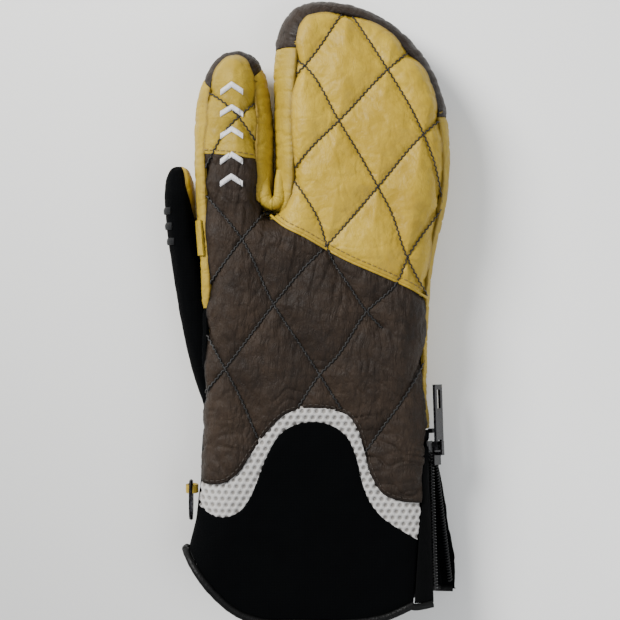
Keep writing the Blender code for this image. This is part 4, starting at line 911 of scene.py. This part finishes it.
KNUCKLE_LOW = 34.0
left = join(straight((SPLIT_X + 0.5, KNUCKLE_LOW), hood_low(where_y(hood_low, 54.0, True))[:2], 12),
            run(hood_low, 54.0, 114.0, True))
right = run(hood_low, KNUCKLE_LOW, 88.0, False)
hood_palm = palm_part("hood_palm_leather", left, right, straight(left(0.0)[:2], right(0.0)[:2]),
                      tip(hood_low, 114.0, 88.0, True), 60, 80)
hand_to(hood_palm)
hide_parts("hood_palm_panel")
left = run(index_low, KNUCKLE_LOW, 100.0, False)
right = join(straight((SPLIT_X - 0.5, KNUCKLE_LOW), index_low(where_y(index_low, 54.0, True))[:2], 12),
             run(index_low, 54.0, 102.0, True))
index_palm = palm_part("index_palm_leather", left, right, straight(left(0.0)[:2], right(0.0)[:2]),
                       tip(index_low, 100.0, 102.0, False), 30, 66)
hand_to(index_palm)
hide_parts("index_palm_panel")
right = run(hood_low, CUFF_TOP, KNUCKLE_LOW, False)
hand_palm = palm_part("palm_leather", straight((PALM_LEFT, CUFF_TOP), (PALM_LEFT, KNUCKLE_LOW)), right,
                      straight((PALM_LEFT, CUFF_TOP), right(0.0)[:2]),
                      straight((PALM_LEFT, KNUCKLE_LOW), right(1.0)[:2]), 60, 70)
place(hand_palm, "hand", "tan_palm_leather", "palm_panel")
left = run(index_low, 3.0, KNUCKLE_LOW, False)
fourchette = palm_part("thumb_fourchette_leather", left, straight((PALM_LEFT, 3.0), (PALM_LEFT, KNUCKLE_LOW)),
                       straight(left(0.0)[:2], (PALM_LEFT, 3.0)),
                       straight(left(1.0)[:2], (PALM_LEFT, KNUCKLE_LOW)), 24, 30)
place(fourchette, "hand", "tan_palm_leather", "thumb_fourchette")

# --------------------------------------------------------- wrist and cuff
HOLE_PITCH = 3.3


def mesh_shape(p, s, t):
    """Hexagonal net of round holes in the spacer mesh."""
    x, y = p[..., 0], p[..., 1]
    u, v = x / HOLE_PITCH, y / (HOLE_PITCH * 0.866)
    row = np.round(v)
    best = np.full(x.shape, 9.0)
    for dv in (-1, 0, 1):
        r = row + dv
        shift = 0.5 * (r % 2)
        cu = np.round(u - shift) + shift
        best = np.minimum(best, np.hypot((u - cu) * HOLE_PITCH, (v - r) * HOLE_PITCH * 0.866))
    hole = 1 - ease(best, 0.55, 1.4)
    border = np.minimum(t, 1 - t) * 9
    pillow = 0.5 * (1 - np.exp(-(border / 1.5) ** 2)) - 0.9
    return pillow - 0.8 * hole + 0.25 * fbm(x / 12, y / 12, 91), hole


mesh_left = straight(mesh_lo(0.0)[:2], mesh_up(0.0)[:2])
mesh_right = turned(cut(zip_seam, z_mesh_up, z_mesh_lo))
insert = back_panel("wrist_spacer_mesh", mesh_left, mesh_right, mesh_lo, mesh_up, 420, 40, SPACER, "",
                    wrap=(1, 0), extra=mesh_shape)
place(insert, "hand", "white_spacer_mesh", "wrist_mesh_insert")


def cuff_shape(p, s, t):
    x, y = p[..., 0], p[..., 1]
    border = np.minimum(np.minimum(1 - s, 1.0) * 100, np.minimum(t, 1 - t) * 50)
    h = 0.7 * fbm(x / 24, y / 20, 95) + 0.12 * fbm(x / 6, y / 6, 97) - 0.5
    return h - 0.5 * np.exp(-(border / 2.2) ** 2), np.exp(-(border / 1.4) ** 2)


cuff_left = run(index_seam, -108.6, -89.6, False)
cuff_left = polyline(np.concatenate(([hem(0.0)[:2]], cuff_left.points[1:-1, :2], [mesh_lo(0.0)[:2]])))
cuff_right = turned(cut(zip_seam, z_mesh_lo, 1))
cuff_back = back_panel("cuff_back_softshell", cuff_left, cuff_right, hem, mesh_lo, 130, 70, SOFTSHELL, "",
                       wrap=(1, 0), extra=cuff_shape, shell=True)
place(cuff_back, "hand", "black_softshell", "cuff_back_panel")
palm_cuff_left = run(index_edge, -109.0, CUFF_TOP, False)
palm_cuff_right = curve([(56.0, -130.5), (55.4, -110.0), (54.2, -80.0), (52.2, CUFF_TOP)])
palm_hem = curve([(palm_cuff_left(0.0)[0], -109.0), (-50.0, -118.0), (-42.0, -127.4), (-32.5, -134.8),
                  (-23.0, -138.2), (-5.0, -139.0), (17.0, -139.0), (36.0, -136.4), (56.0, -130.5)])
cuff_palm = back_panel("cuff_palm_softshell", palm_cuff_left, palm_cuff_right, palm_hem,
                       straight(palm_cuff_left(1.0)[:2], palm_cuff_right(1.0)[:2]), 110, 60, SOFTSHELL, "",
                       wrap=(1, 0), upper=False, extra=cuff_shape, shell=True)
place(cuff_palm, "hand", "black_softshell", "cuff_palm_panel")


def tube(points, radius, sides=6, closed=False, flat=1.0):
    """Verts and faces of a bar that follows points, its section square to the path."""
    p = np.asarray(points, float)
    d = np.gradient(p, axis=0) if not closed else np.roll(p, -1, 0) - np.roll(p, 1, 0)
    d /= np.maximum(np.linalg.norm(d, axis=1), 1e-9)[:, None]
    up = np.array((0.0, 0.0, 1.0))
    side = np.cross(d, up)
    small = np.linalg.norm(side, axis=1) < 1e-3
    side[small] = (1.0, 0.0, 0.0)
    side /= np.linalg.norm(side, axis=1)[:, None]
    top = np.cross(side, d)
    a = np.linspace(0, 2 * math.pi, sides, endpoint=False)
    r = np.broadcast_to(np.asarray(radius, float), (len(p),))
    ring = (p[:, None, :] + r[:, None, None] * (np.cos(a)[None, :, None] * side[:, None, :]
                                                + flat * np.sin(a)[None, :, None] * top[:, None, :]))
    n = len(p)
    faces = []
    for i in range(n if closed else n - 1):
        j = (i + 1) % n
        for k in range(sides):
            m = (k + 1) % sides
            faces.append((i * sides + k, i * sides + m, j * sides + m, j * sides + k))
    if not closed:
        faces.append(tuple(range(sides - 1, -1, -1)))
        faces.append(tuple((n - 1) * sides + k for k in range(sides)))
    return ring.reshape(-1, 3), faces


def gather(parts):
    """Several meshes as one."""
    verts, faces, base = [], [], 0
    for v, f in parts:
        verts.append(v)
        faces += [tuple(base + i for i in face) for face in f]
        base += len(v)
    return np.concatenate(verts), faces


def hem_roll(name, line, upper, nodes):
    """Narrow leather binding folded over the raw edge of the cuff."""
    q = np.linspace(0.004, 0.996, 150)
    p = skin(line(q)[:, :2], upper)
    p[:, 2] += -1.0 if upper else 1.0
    e = 1e-3
    d = line(np.clip(q + e, 0, 1))[:, :2] - line(np.clip(q - e, 0, 1))[:, :2]
    d /= np.linalg.norm(d, axis=1)[:, None]
    p[:, :2] += np.stack([d[:, 1], -d[:, 0]], -1) * 1.3
    ripple = 1.0 + 0.05 * noise(q * 70, q * 0, 5)
    ob = shaped(name, tube(p, 1.75 * ripple, 12, flat=0.82), BINDING)
    place(ob, "hand", "black_softshell", *nodes)
    return p[0] if p[0, 0] < p[-1, 0] else p[-1]


upper_end = hem_roll("hem_binding_back_roll", hem, True, ["hem_binding_back"])
lower_end = hem_roll("hem_binding_palm_roll", palm_hem, False, ["hem_binding_palm"])
w = np.linspace(-0.12, 1.12, 24)[:, None]
bow = np.array((-0.5, 0, 0)) * np.sin(np.pi * np.clip(w, 0, 1))
turn_roll = shaped("hem_binding_side_roll", tube(upper_end + (lower_end - upper_end) * w + bow, 1.62, 12),
                   BINDING)
place(turn_roll, "hand", "black_softshell")

# ------------------------------------------------------------------- thumb
t_table = np.array(THUMB)


def thumb_skin(y, turn):
    """Plain surface of the thumb, by station and by turn about its length."""
    cx = level(y, t_table[:, (0, 1)]) + level(y, t_table[:, (0, 2)])
    a, b = level(y, t_table[:, (0, 2)]), level(y, t_table[:, (0, 3)])
    c, s_ = np.cos(turn), np.sin(turn)
    y = np.asarray(y, float)
    k = np.sqrt(np.clip(1 - np.clip((y - 50.0) / 17.0, 0, 1) ** 2.6, 0, 1))
    kx = 0.15 + 0.85 * np.sqrt(np.clip(1 - np.clip((y - 57.0) / 9.95, 0, 1) ** 2.4, 0, 1))
    end = ease(y, 54.0, 66.0)
    cx = cx * (1 - end) - 60.6 * end
    a = a * (1 - end) + 6.6 * end
    b = b * (1 - end) + 12.0 * end
    return np.stack([cx + a * np.sign(c) * np.abs(c) ** 0.86 * kx, y,
                     b + 0.15 + b * k * np.sign(s_) * np.abs(s_) ** 0.86], -1)


def colour_turn(y):
    """Where the black back meets the tan palm: it runs over the top of the thumb except near its tip."""
    return -12.0 + 70.0 * ease(y, 34.0, 60.0)


def thumb_panel(name, turn0, turn1, y0, y1, nu, nv, material_, seed, skew=0.0, crease=0.2):
    s, t = grid(nu, nv)
    start, stop = 20.0 if turn0 is None else turn0, 380.0 if turn1 is None else turn1
    rough_turn = np.radians(start * (1 - s) + stop * s)
    low = y0 + skew * ease(np.cos(rough_turn), 0.0, 0.8)
    y = y1 - (y1 - low) * (1 - np.sin(np.pi / 2 * t)) if y1 > 60 else low + (y1 - low) * t
    first = colour_turn(y) if turn0 is None else turn0
    last = 360.0 + colour_turn(y) if turn1 is None else turn1
    turn = np.radians(first + (last - first) * s)
    p = thumb_skin(y, turn)
    roll = np.minimum(s, 1 - s) * 40
    h = 0.5 * (1 - np.exp(-(roll / 2.4) ** 2)) - 0.6 + 0.3 * fbm(y / 11, turn * 2, seed)
    h += crease * creases(y, turn * 11, 0.2, 3.0, 3.0, seed + 4)
    h *= ease(1 - t, 0.0, 0.08)
    return sheet_mesh(name, p, material_, -1.0, 1.2, h, np.exp(-(roll / 1.3) ** 2))


thumb_back = thumb_panel("thumb_back_softshell", None, 232.0, -28.0, 66.9, 70, 120, SOFTSHELL, 101,
                         crease=0.1)
thumb_palm = thumb_panel("thumb_palm_leather", 232.0, None, -28.0, 66.9, 60, 120, TAN_SIDE, 105, skew=30.0)
for ob, face, slot_name in ((thumb_back, "back", "black_softshell"),
                            (thumb_palm, "palm", "tan_palm_leather")):
    place(ob, "thumb", slot_name, f"thumb_{face}_panel", f"thumb_lining_{face}")
root_back = thumb_panel("thumb_root_softshell", 60.0, 232.0, -50.0, -26.0, 50, 30, SOFTSHELL, 109,
                        crease=0.15)
root_palm = thumb_panel("thumb_root_leather", 232.0, 300.0, -50.0, -26.0, 24, 30, TAN_SIDE, 111)
for ob, slot_name in ((root_back, "black_softshell"), (root_palm, "tan_palm_leather")):
    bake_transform(ob)
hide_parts("thumb_root_fold")

# grip bars: plain raised ribs on the thumb's softshell
for k, station in enumerate((30.0, 37.0, 44.0)):
    a = np.radians(np.linspace(116, 164, 26))
    mid = thumb_skin(np.full(26, station + 1.8), a)
    mid[:, 0] -= 0.15
    ob = shaped(f"thumb_grip_rib_{k + 1}", tube(mid, 1.7, 10, flat=0.34), RUBBER)
    place(ob, "thumb", "grey_rubber", f"thumb_grip_bar_{k + 1}")


# ------------------------------------------------------------------ stitches
def region(x, y):
    """Which panel of the back a plan point lies on."""
    seam_y = np.interp(x, seam_line.points[:, 0], seam_line.points[:, 1])
    on_index = (y > 70.2 - 0.09 * (x + 48)) & (x < SPLIT_X)
    return np.where((x > SPLIT_X) & (y > seam_y), 2, np.where(on_index, 1, 0))


KINDS = {0: "brown", 1: "tan", 2: "tan"}


def zigzag(line, pitch=2.3, swing=0.34, sub=6):
    """Samples of a zig-zag lock stitch along a plan line, with its lift over the leather."""
    n = max(int(line.length / pitch), 2) * sub
    q = np.linspace(0, 1, n + 1)
    p = line(q)[:, :2]
    d = np.gradient(p, axis=0)
    d /= np.linalg.norm(d, axis=1)[:, None]
    phase = np.arange(n + 1) / sub
    side = swing * (2 * np.abs((phase % 1.0) * 2 - 1) - 1)
    lift = 0.10 + 0.22 * np.abs(np.sin(np.pi * phase * 2))
    return p + np.stack([-d[:, 1], d[:, 0]], -1) * side[:, None], lift


quilt_parts = {0: [], 1: [], 2: []}
for q in QUILT:
    p, lift = zigzag(curve(q))
    which = region(p[:, 0], p[:, 1])
    start = 0
    for i in range(1, len(p) + 1):
        if i == len(p) or which[i] != which[start]:
            if i - start > 3:
                piece = back_point(p[start:i, 0], p[start:i, 1], KINDS[int(which[start])])
                piece[:, 2] += lift[start:i]
                quilt_parts[int(which[start])].append(tube(piece, 0.30 if which[start] else 0.40, 6))
            start = i
for key, name in ((0, "quilting_thread_hand"), (1, "quilting_thread_index"), (2, "quilting_thread_hood")):
    ob = shaped(name, gather(quilt_parts[key]), BLACK_THREAD)
    if key == 1:
        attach(ob, "index")
    else:
        hand_to(ob)


def dashes(line, kind, offset, dash=1.7, gap=0.9, radius=0.24, lift=0.05):
    """Top stitching beside a seam: short stitches that dip at each end."""
    side = moved(polyline(np.c_[line.points[:, :2], np.zeros(len(line.points))]), 1, offset)
    parts = []
    n = int(side.length / (dash + gap))
    for i in range(n):
        a = i * (dash + gap) / side.length
        q = np.linspace(a, a + dash / side.length, 7)
        xy = side(q)[:, :2]
        p = back_point(xy[:, 0], xy[:, 1], kind)
        p[:, 2] += lift + 0.16 * np.sin(np.linspace(0, np.pi, 7))
        parts.append(tube(p, radius, 6))
    return parts


parts = dashes(cut(seam_line, 0.02, 0.985), "tan", 2.3)
ob = shaped("topstitch_colour_seam", gather(parts), TAN_THREAD)
hand_to(ob)
index_step = straight(tan_left(0.0)[:2] + np.array((0.8, 0)), tan_right(0.0)[:2] - np.array((0.8, 0)))
ob = shaped("topstitch_index_step", gather(dashes(index_step, "tan", 1.7)), TAN_THREAD)
place(ob, "index", "tan_leather")
ob = shaped("topstitch_brown_hem", gather(dashes(cut(mesh_up, 0.02, 0.98), "brown", 1.6)), BROWN_THREAD)
place(ob, "hand", "brown_leather")

# folded edge of the tan panel, lying over the brown one
edge_line = cut(seam_line, 0.0, 0.99)
q = np.linspace(0, 1, 240)
xy = edge_line(q)[:, :2]
p = back_point(xy[:, 0], xy[:, 1], "tan")
p[:, 2] += 0.15
ob = shaped("folded_edge_colour_seam", tube(p, 0.62, 10, flat=0.75), TAN)
hand_to(ob)

# ------------------------------------------------ satin-stitched chevrons
for k in range(5):
    y0 = 56.0 + 10.0 * k + (1.6 if k > 1 else 0.0)
    parts = []
    for i, sx in enumerate(np.linspace(0.0, 1.0, 24)):
        x = -39.9 + 9.8 * sx
        yc = y0 + 1.0 + 3.2 * (1 - abs(2 * sx - 1))
        kind = "tan" if y0 > 70 else "brown"
        ys = np.linspace(yc - 1.25, yc + 1.25, 7)
        pts = back_point(np.full(7, x), ys, kind)
        pts[:, 2] += 0.05 + 0.62 * np.sin(np.linspace(0.12, np.pi - 0.12, 7))
        parts.append(tube(pts, 0.27, 6))
    ob = shaped(f"satin_chevron_{k + 1}", gather(parts), WHITE_THREAD)
    place(ob, "index", "white_spacer_mesh", f"index_chevron_{k + 1}")

# ------------------------------------------------------------------- zip
def unit(v):
    return np.array(v, float) / np.linalg.norm(v)


row_back, row_palm = unit(ZIP_BACK_END - ZIP_TOP), unit(ZIP_PALM_END - ZIP_TOP)
plane_up = unit(np.cross(row_back, row_palm))
across = unit(np.cross(plane_up, row_back))
across_palm = unit(np.cross(plane_up, row_palm))
if np.dot(across, row_palm) < 0:
    across, across_palm = -across, -across_palm
row_length = float(np.linalg.norm(ZIP_BACK_END - ZIP_TOP))


def coil(name, direction, sideways, sign, body, cad_name):
    """Coil zip: one continuous filament wound along the edge of its tape."""
    turns, per = 46, 12
    k = np.arange(turns * per + 1)
    a = 2 * math.pi * k / per
    along = 3.2 + (row_length - 6.2) * k / k[-1]
    p = (ZIP_TOP + direction * along[:, None] + sideways * (sign * (1.45 + 1.0 * np.cos(a)))[:, None]
         + plane_up * (0.78 * np.sin(a))[:, None])
    ob = shaped(name, tube(p, 0.31, 6), CHAIN)
    place(ob, body, "black_plastic", cad_name)


coil("zip_coil_back", row_back, across, -1, "hand", "zip_teeth_back")
coil("zip_coil_palm", row_palm, across_palm, 1, "cuff_flap", "zip_teeth_palm")


def x_on(line):
    """How far to the right a line lies at a given height."""
    order = np.argsort(line.points[:, 1])
    ys, xs = line.points[order, 1], line.points[order, 0]
    return lambda y: np.interp(y, ys, xs)


back_x, palm_x = x_on(cut(zip_seam, 0.3, 1.0)), x_on(palm_cuff_right)


def arch(a, b, c, w):
    """Curved line from a to c, pulled towards b."""
    return (1 - w) ** 2 * a + 2 * w * (1 - w) * b + w ** 2 * c


def strip(name, inner, outer, bulge, nu, nv, material_, out, seed, ripple=0.25):
    """Soft fabric between two edges, bellied out by bulge at its middle."""
    s, t = grid(nu, nv)
    p = arch(inner(t), bulge(t), outer(t), s[..., None])
    along = t * row_length
    h = ripple * fbm(along / 9.0, s * 2.5, seed)
    h = h + 0.5 * ripple * creases(s * 16.0, along, 0.2, 4.0, 3.0, seed + 3)
    ends = np.minimum(np.minimum(s, 1 - s) * 10, np.minimum(t, 1 - t) * row_length)
    h = h - 0.3 * np.exp(-(ends / 1.2) ** 2)
    return sheet_mesh(name, p, material_, out, 0.5, h, np.exp(-(ends / 1.0) ** 2)), p


def on_row(direction, sideways, offset, lift=0.0, start=0.005, share=0.985):
    """Line beside a row of zip teeth."""
    def at(t):
        return (ZIP_TOP + direction * (row_length * (start + share * t))[..., None] + sideways * offset
                + plane_up * lift)
    return at


def on_skin(row, line_x, shift, upper):
    """Line on the skin beside a row of zip teeth."""
    def at(t):
        y = row(t)[..., 1]
        return skin(np.stack([line_x(y) + shift, y], -1), upper)
    return at


TAPE_GAP, FLAP_GAP, GUSSET_SINK = 3.7, 4.7, 4.0
back_inner = on_row(row_back, across, -TAPE_GAP, share=1.03)
back_outer = on_skin(back_inner, back_x, 0.5, True)
tape_back, _ = strip("zip_tape_back_fabric", back_inner, back_outer,
                     lambda t: (back_inner(t) + back_outer(t)) / 2 + plane_up * 0.9, 16, 90, TAPE_MAT,
                     1.0, 131)
place(tape_back, "hand", "black_softshell", "zip_tape_back")
palm_inner = on_row(row_palm, across_palm, FLAP_GAP, share=1.015)
palm_edge = on_skin(palm_inner, palm_x, -2.2, False)


def palm_outer(t):
    """Outer edge of the flap, tucked inside the palm side of the cuff."""
    return palm_edge(t) + np.array((0, 0, 0.9))


FLAP_SWELL = [(-0.05, 0.5), (0.1, 3.0), (0.35, 7.5), (0.62, 11.5), (0.8, 13.0), (0.92, 12.0), (1.0, 9.0),
              (1.1, 8.0)]


def flap_belly(t):
    """Middle of the flap: it swells outwards on its way to the hem."""
    mid = (palm_inner(t) + palm_outer(t)) / 2
    mid[..., 0] += level(t, FLAP_SWELL)
    mid[..., 2] += 1.5
    return mid


flap, _ = strip("zip_flap_fabric", palm_inner, palm_outer, flap_belly, 34, 100, SOFTSHELL, -1.0, 135,
                ripple=0.5)
place(flap, "cuff_flap", "black_softshell", "zip_tape_palm")
gusset_a = on_row(row_back, across, -0.6, -GUSSET_SINK, 0.13, 0.86)
gusset_b = on_row(row_palm, across_palm, 0.6, -GUSSET_SINK, 0.13, 0.86)


def gusset_belly(t):
    """Middle of the gusset: it sags into the cuff, more towards the hem."""
    return (gusset_a(t) + gusset_b(t)) / 2 - plane_up * (1.0 + 6.5 * t ** 1.2)[..., None]


one = np.array(1.0)
gusset, gusset_p = strip("zip_gusset_fabric", gusset_a, gusset_b, gusset_belly, 30, 90, SOFTSHELL, -1.0, 137,
                         ripple=0.5)
tuple(to_row(gusset_a(one)))
tuple(to_row(gusset_b(one)))
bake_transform(gusset)
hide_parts("zip_gusset")


def landing(offset, lift):
    """Edge of the fabric patch behind the slider's upper end."""
    def at(t):
        along = -7.0 + 23.0 * t
        return (ZIP_TOP + row_back * along[..., None] + across * offset
                + plane_up * (lift - 3.2 * ease(along, -4.0, 2.0))[..., None])
    return at


landing_in, landing_out = landing(-7.0, -3.0), landing(1.0, -2.9)
landing_patch, _ = strip("zip_landing_fabric", landing_in, landing_out,
                  lambda t: (landing_in(t) + landing_out(t)) / 2 + plane_up * 1.0, 20, 50, TAPE_MAT, 1.0,
                  139, ripple=0.2)
place(landing_patch, "hand", "black_softshell")


def fleece_sleeve():
    """Lining of the hand: one soft tube inside the shell, open at the wrist and at the knuckles."""
    nu, nv = 150, 110
    mouth_inset, knuckle_end, back_gap, palm_gap = 7.0, 37.0, 4.3, 3.4
    hem_y, hem_x = hem.points[:, 1], hem.points[:, 0]
    left_x = x_on(run(index_edge, -109.0, 44.0, False))
    zip_side = polyline(zip_seam.points[zip_seam.points[:, 1] < -57.0])
    right_x = x_on(join(turned(run(hood_edge, -56.0, 44.0, False)), zip_side))
    turn = np.linspace(0, 2 * math.pi, nu + 1)[:-1]
    c, s_ = np.cos(turn), np.sin(turn)
    across_share = np.sign(c) * np.abs(c) ** 0.62
    t = np.linspace(0, 1, nv + 1)[:, None]
    guess = -44.0 + 92.0 * (across_share + 1) / 2
    mouth = np.interp(guess, hem_x, hem_y) + mouth_inset
    y = mouth[None, :] + (knuckle_end - mouth[None, :]) * t
    xl, xr = left_x(np.maximum(y, -108.0)) + 3.8, right_x(y) - 4.6
    x = (xl + xr) / 2 + (xr - xl) / 2 * across_share[None, :]
    xy = np.stack([x, y], -1)
    top, low = skin(xy, True)[..., 2] - back_gap, skin(xy, False)[..., 2] + palm_gap
    middle, half = (top + low) / 2, np.maximum((top - low) / 2, 0.3)
    z = middle + half * (np.sign(s_) * np.abs(s_) ** 0.5)[None, :]
    lumps = 0.35 * fbm(y / 9.0, turn[None, :] * 9.0 + 0 * y, 171)
    p = np.stack([x, y, z + lumps], -1).reshape(-1, 3)
    faces = [(i * nu + k, i * nu + (k + 1) % nu, (i + 1) * nu + (k + 1) % nu, (i + 1) * nu + k)
             for i in range(nv) for k in range(nu)]
    ob = new_object("hand_fleece_sleeve", to_row(p), faces, FLEECE)
    solid = ob.modifiers.new("thickness", "SOLIDIFY")
    solid.thickness = 0.0007
    solid.offset = 0.0
    place(ob, "hand", "grey_fleece", "hand_lining_back", "hand_lining_palm")


fleece_sleeve()


def thumb_side_wall(name, y0, y1, look, slot_name):
    """Wall of the hand behind the thumb, seen when the thumb swings out."""
    nu, nv = 40, 50
    side_gap, back_gap, palm_gap = 2.1, 3.3, 1.5
    left_x = x_on(run(index_edge, -109.0, 44.0, False))
    u, t = grid(nu, nv)
    y = y0 + (y1 - y0) * t
    turn = np.pi * (0.5 + u)
    c, s_ = np.cos(turn), np.sin(turn)
    reach = 15.0
    x = left_x(y) + side_gap + reach * (1 + c)
    xy = np.stack([x, y], -1)
    top, low = skin(xy, True)[..., 2] - back_gap, skin(xy, False)[..., 2] + palm_gap
    z = (top + low) / 2 + np.maximum((top - low) / 2, 0.4) * np.sign(s_) * np.abs(s_) ** 0.55
    h = 0.3 * fbm(y / 7.0, u * 6.0, 181) + 0.3 * creases(u * 22.0, y, 0.4, 5.0, 3.0, 183)
    ob = sheet_mesh(name, np.stack([x, y, z], -1), look, 1.0, 0.5, h)
    place(ob, "hand", slot_name)


thumb_side_wall("thumb_side_wall_leather", -22.0, 10.0, PALM, "tan_palm_leather")
thumb_side_wall("thumb_side_wall_softshell", -52.0, -21.0, SOFTSHELL, "black_softshell")


def edge_binding(name, a, b, c, w, radius, flat):
    """Rolled binding along the curved lower edge of a zip piece."""
    ob = shaped(name, tube(arch(a, b, c, w[:, None]), radius, 12, flat=flat), BINDING)
    return ob


q = np.linspace(0.32, 0.97, 50)
flap_binding = edge_binding("zip_flap_binding", palm_inner(one), flap_belly(one), palm_outer(one),
                            q, 1.5, 0.8)
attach(flap_binding, "cuff_flap")
hem_end = skin(hem(0.985)[:2]) + np.array((0.6, -1.2, -1.0))
tape_binding = edge_binding("zip_tape_binding", hem_end, back_outer(one) + np.array((-1.0, -2.6, 0)),
                            back_inner(one) - across * 1.2 - np.array((0, 0.6, 0)),
                            np.linspace(0, 1, 30), 1.6, 0.82)
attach(tape_binding, "hand")
ends = tuple(e - plane_up * 0.6 for e in (gusset_a(one), gusset_belly(one), gusset_b(one)))
gusset_binding = edge_binding("zip_gusset_binding", *ends, q, 1.1, 0.8)
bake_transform(gusset_binding)


# ----------------------------------------------- small soft pieces and lining
def softened(name, cad_name, body, look, amp=0.25, scale=6.0, levels=2, bevel=0.3, seed=151):
    """Copy of a soft CAD piece with rounded edges and an uneven, handled surface."""
    src = frame["nodes"][cad_name]
    mesh = src.data.copy()
    mesh.transform(src.matrix_world)
    ob = bpy.data.objects.new(name, mesh)
    bpy.context.scene.collection.objects.link(ob)
    if bevel:
        b = ob.modifiers.new("edges", "BEVEL")
        b.width, b.segments, b.limit_method, b.angle_limit = bevel * MM, 2, "ANGLE", math.radians(35)
    sub = ob.modifiers.new("cut", "SUBSURF")
    sub.subdivision_type, sub.levels = "SIMPLE", levels
    done = bpy.data.meshes.new_from_object(ob.evaluated_get(bpy.context.evaluated_depsgraph_get()))
    ob.modifiers.clear()
    ob.data = done
    n = len(done.vertices)
    co, normal = np.empty(n * 3, np.float32), np.empty(n * 3, np.float32)
    done.vertices.foreach_get("co", co)
    done.vertex_normals.foreach_get("vector", normal)
    co, normal = co.reshape(-1, 3).astype(float), normal.reshape(-1, 3)
    mm = co / MM
    h = amp * fbm(mm[:, 0] / scale + mm[:, 2] / scale, mm[:, 1] / scale - 0.6 * mm[:, 2] / scale, seed)
    done.vertices.foreach_set("co", (co + normal * h[:, None] * MM).astype(np.float32).reshape(-1))
    done.materials.clear()
    done.materials.append(look)
    done.shade_smooth()
    done.update()
    if len(body) == 2:
        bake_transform(ob)
    else:
        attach(ob, body[0])
    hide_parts(cad_name)
    return ob


softened("hang_loop_leather", "hang_loop", ["hand"], TAN_SIDE, 0.2, 3.0, 2, 0.25)
softened("palm_grip_leather", "palm_grip_patch", ["hand"], BROWN, 0.25, 8.0, 4, 0.3)
softened("side_tab_leather", "side_strap_tab", ["hand"], TAN_SIDE, 0.2, 3.0, 3, 0.35)
softened("thumb_web_leather", "thumb_web_gusset", ["hand", "thumb"], PALM,
         0.15, 5.0, 4, 0.2)
for body in ("index", "hood"):
    for face in ("back", "palm"):
        softened(f"{body}_fleece_{face}", f"{body}_lining_{face}", [body], FLEECE,
                 0.3, 5.0, 2, 0)

# -------------------------------------------------------- carried-over CAD
looks = {"zip_slider": NICKEL, "zip_pull_tab": NICKEL, "zip_top_stop": CHAIN, "pairing_ring": NICKEL}
for name, look in looks.items():
    ob = frame["nodes"][name]
    ob.data.materials.clear()
    ob.data.materials.append(look)
    if name != "pairing_ring":
        bevel = ob.modifiers.new("soft_edges", "BEVEL")
        bevel.width = 0.00035
        bevel.segments = 3
        bevel.limit_method = "ANGLE"
    else:
        ob.data.shade_smooth()

# -------------------------------------------------------- stage and camera
def floor_material():
    """Pale table top that lets flexed fingers be seen where a pose takes them below it."""
    m, tree, bsdf = material("table_mat", 0.6)
    xyz = scaled_coords(tree, (1, 1, 1))
    # painted shade: the table colour darkens towards the bottom left, as if light fell off there
    slope = node(tree, "ShaderNodeVectorMath")
    slope.operation = "DOT_PRODUCT"
    tree.links.new(xyz, slope.inputs[0])
    slope.inputs[1].default_value = (3.4, 1.9, 0.0)
    shade = remap(tree, slope.outputs["Value"], -0.75, 0.30)
    tree.links.new(mix(tree, shade, (0.62, 0.62, 0.612), (0.99, 0.99, 0.975)), bsdf.inputs["Base Color"])
    ao = node(tree, "ShaderNodeAmbientOcclusion")
    ao.samples = 8
    ao.inputs["Distance"].default_value = 0.15
    down = node(tree, "ShaderNodeCombineXYZ")
    down.inputs[2].default_value = -1.0
    tree.links.new(down.outputs[0], ao.inputs["Normal"])
    solid = remap(tree, ao.outputs["AO"], 0.45, 0.75)
    clear = node(tree, "ShaderNodeBsdfTransparent")
    blend_ = node(tree, "ShaderNodeMixShader")
    tree.links.new(solid, blend_.inputs[0])
    tree.links.new(clear.outputs[0], blend_.inputs[1])
    tree.links.new(bsdf.outputs[0], blend_.inputs[2])
    tree.links.new(blend_.outputs[0], tree.nodes["Material Output"].inputs[0])
    return m


table = new_object("table_top", [(-3, -3, 0), (3, -3, 0), (3, 3, 0), (-3, 3, 0)], [(0, 1, 2, 3)],
                   floor_material(), smooth=False)
table.location.z = -0.0004

world = bpy.data.worlds.new("studio")
bpy.context.scene.world = world
world.use_nodes = True
world.node_tree.nodes["Background"].inputs[0].default_value = (0.86, 0.88, 0.90, 1)
world.node_tree.nodes["Background"].inputs[1].default_value = 0.60


def area(name, at, aim, size, watts, colour=(1, 1, 1)):
    data = bpy.data.lights.new(name, "AREA")
    data.shape = "DISK"
    data.size = size
    data.energy = watts
    data.color = colour
    ob = bpy.data.objects.new(name, data)
    bpy.context.scene.collection.objects.link(ob)
    ob.location = at
    ob.rotation_euler = (Vector(aim) - Vector(at)).to_track_quat("-Z", "Y").to_euler()


area("window", (-0.80, 0.60, 0.80), (0, 0, 0.02), 0.55, 29.0, (1.0, 0.99, 0.97))
area("fill", (0.8, -0.5, 1.1), (0, 0, 0.02), 1.2, 9.0, (0.96, 0.98, 1.0))

cam_data = bpy.data.cameras.new("camera")
camera = bpy.data.objects.new("camera", cam_data)
bpy.context.scene.collection.objects.link(camera)
CAMERA_HEIGHT, FRAME_WIDTH, SUBJECT_HEIGHT = 0.72, 0.2852, 0.022
cam_data.sensor_width = 36.0
cam_data.lens = 36.0 * (CAMERA_HEIGHT - SUBJECT_HEIGHT) / FRAME_WIDTH
camera.location = (0.0004, 0.0008, CAMERA_HEIGHT)
bpy.context.scene.camera = camera
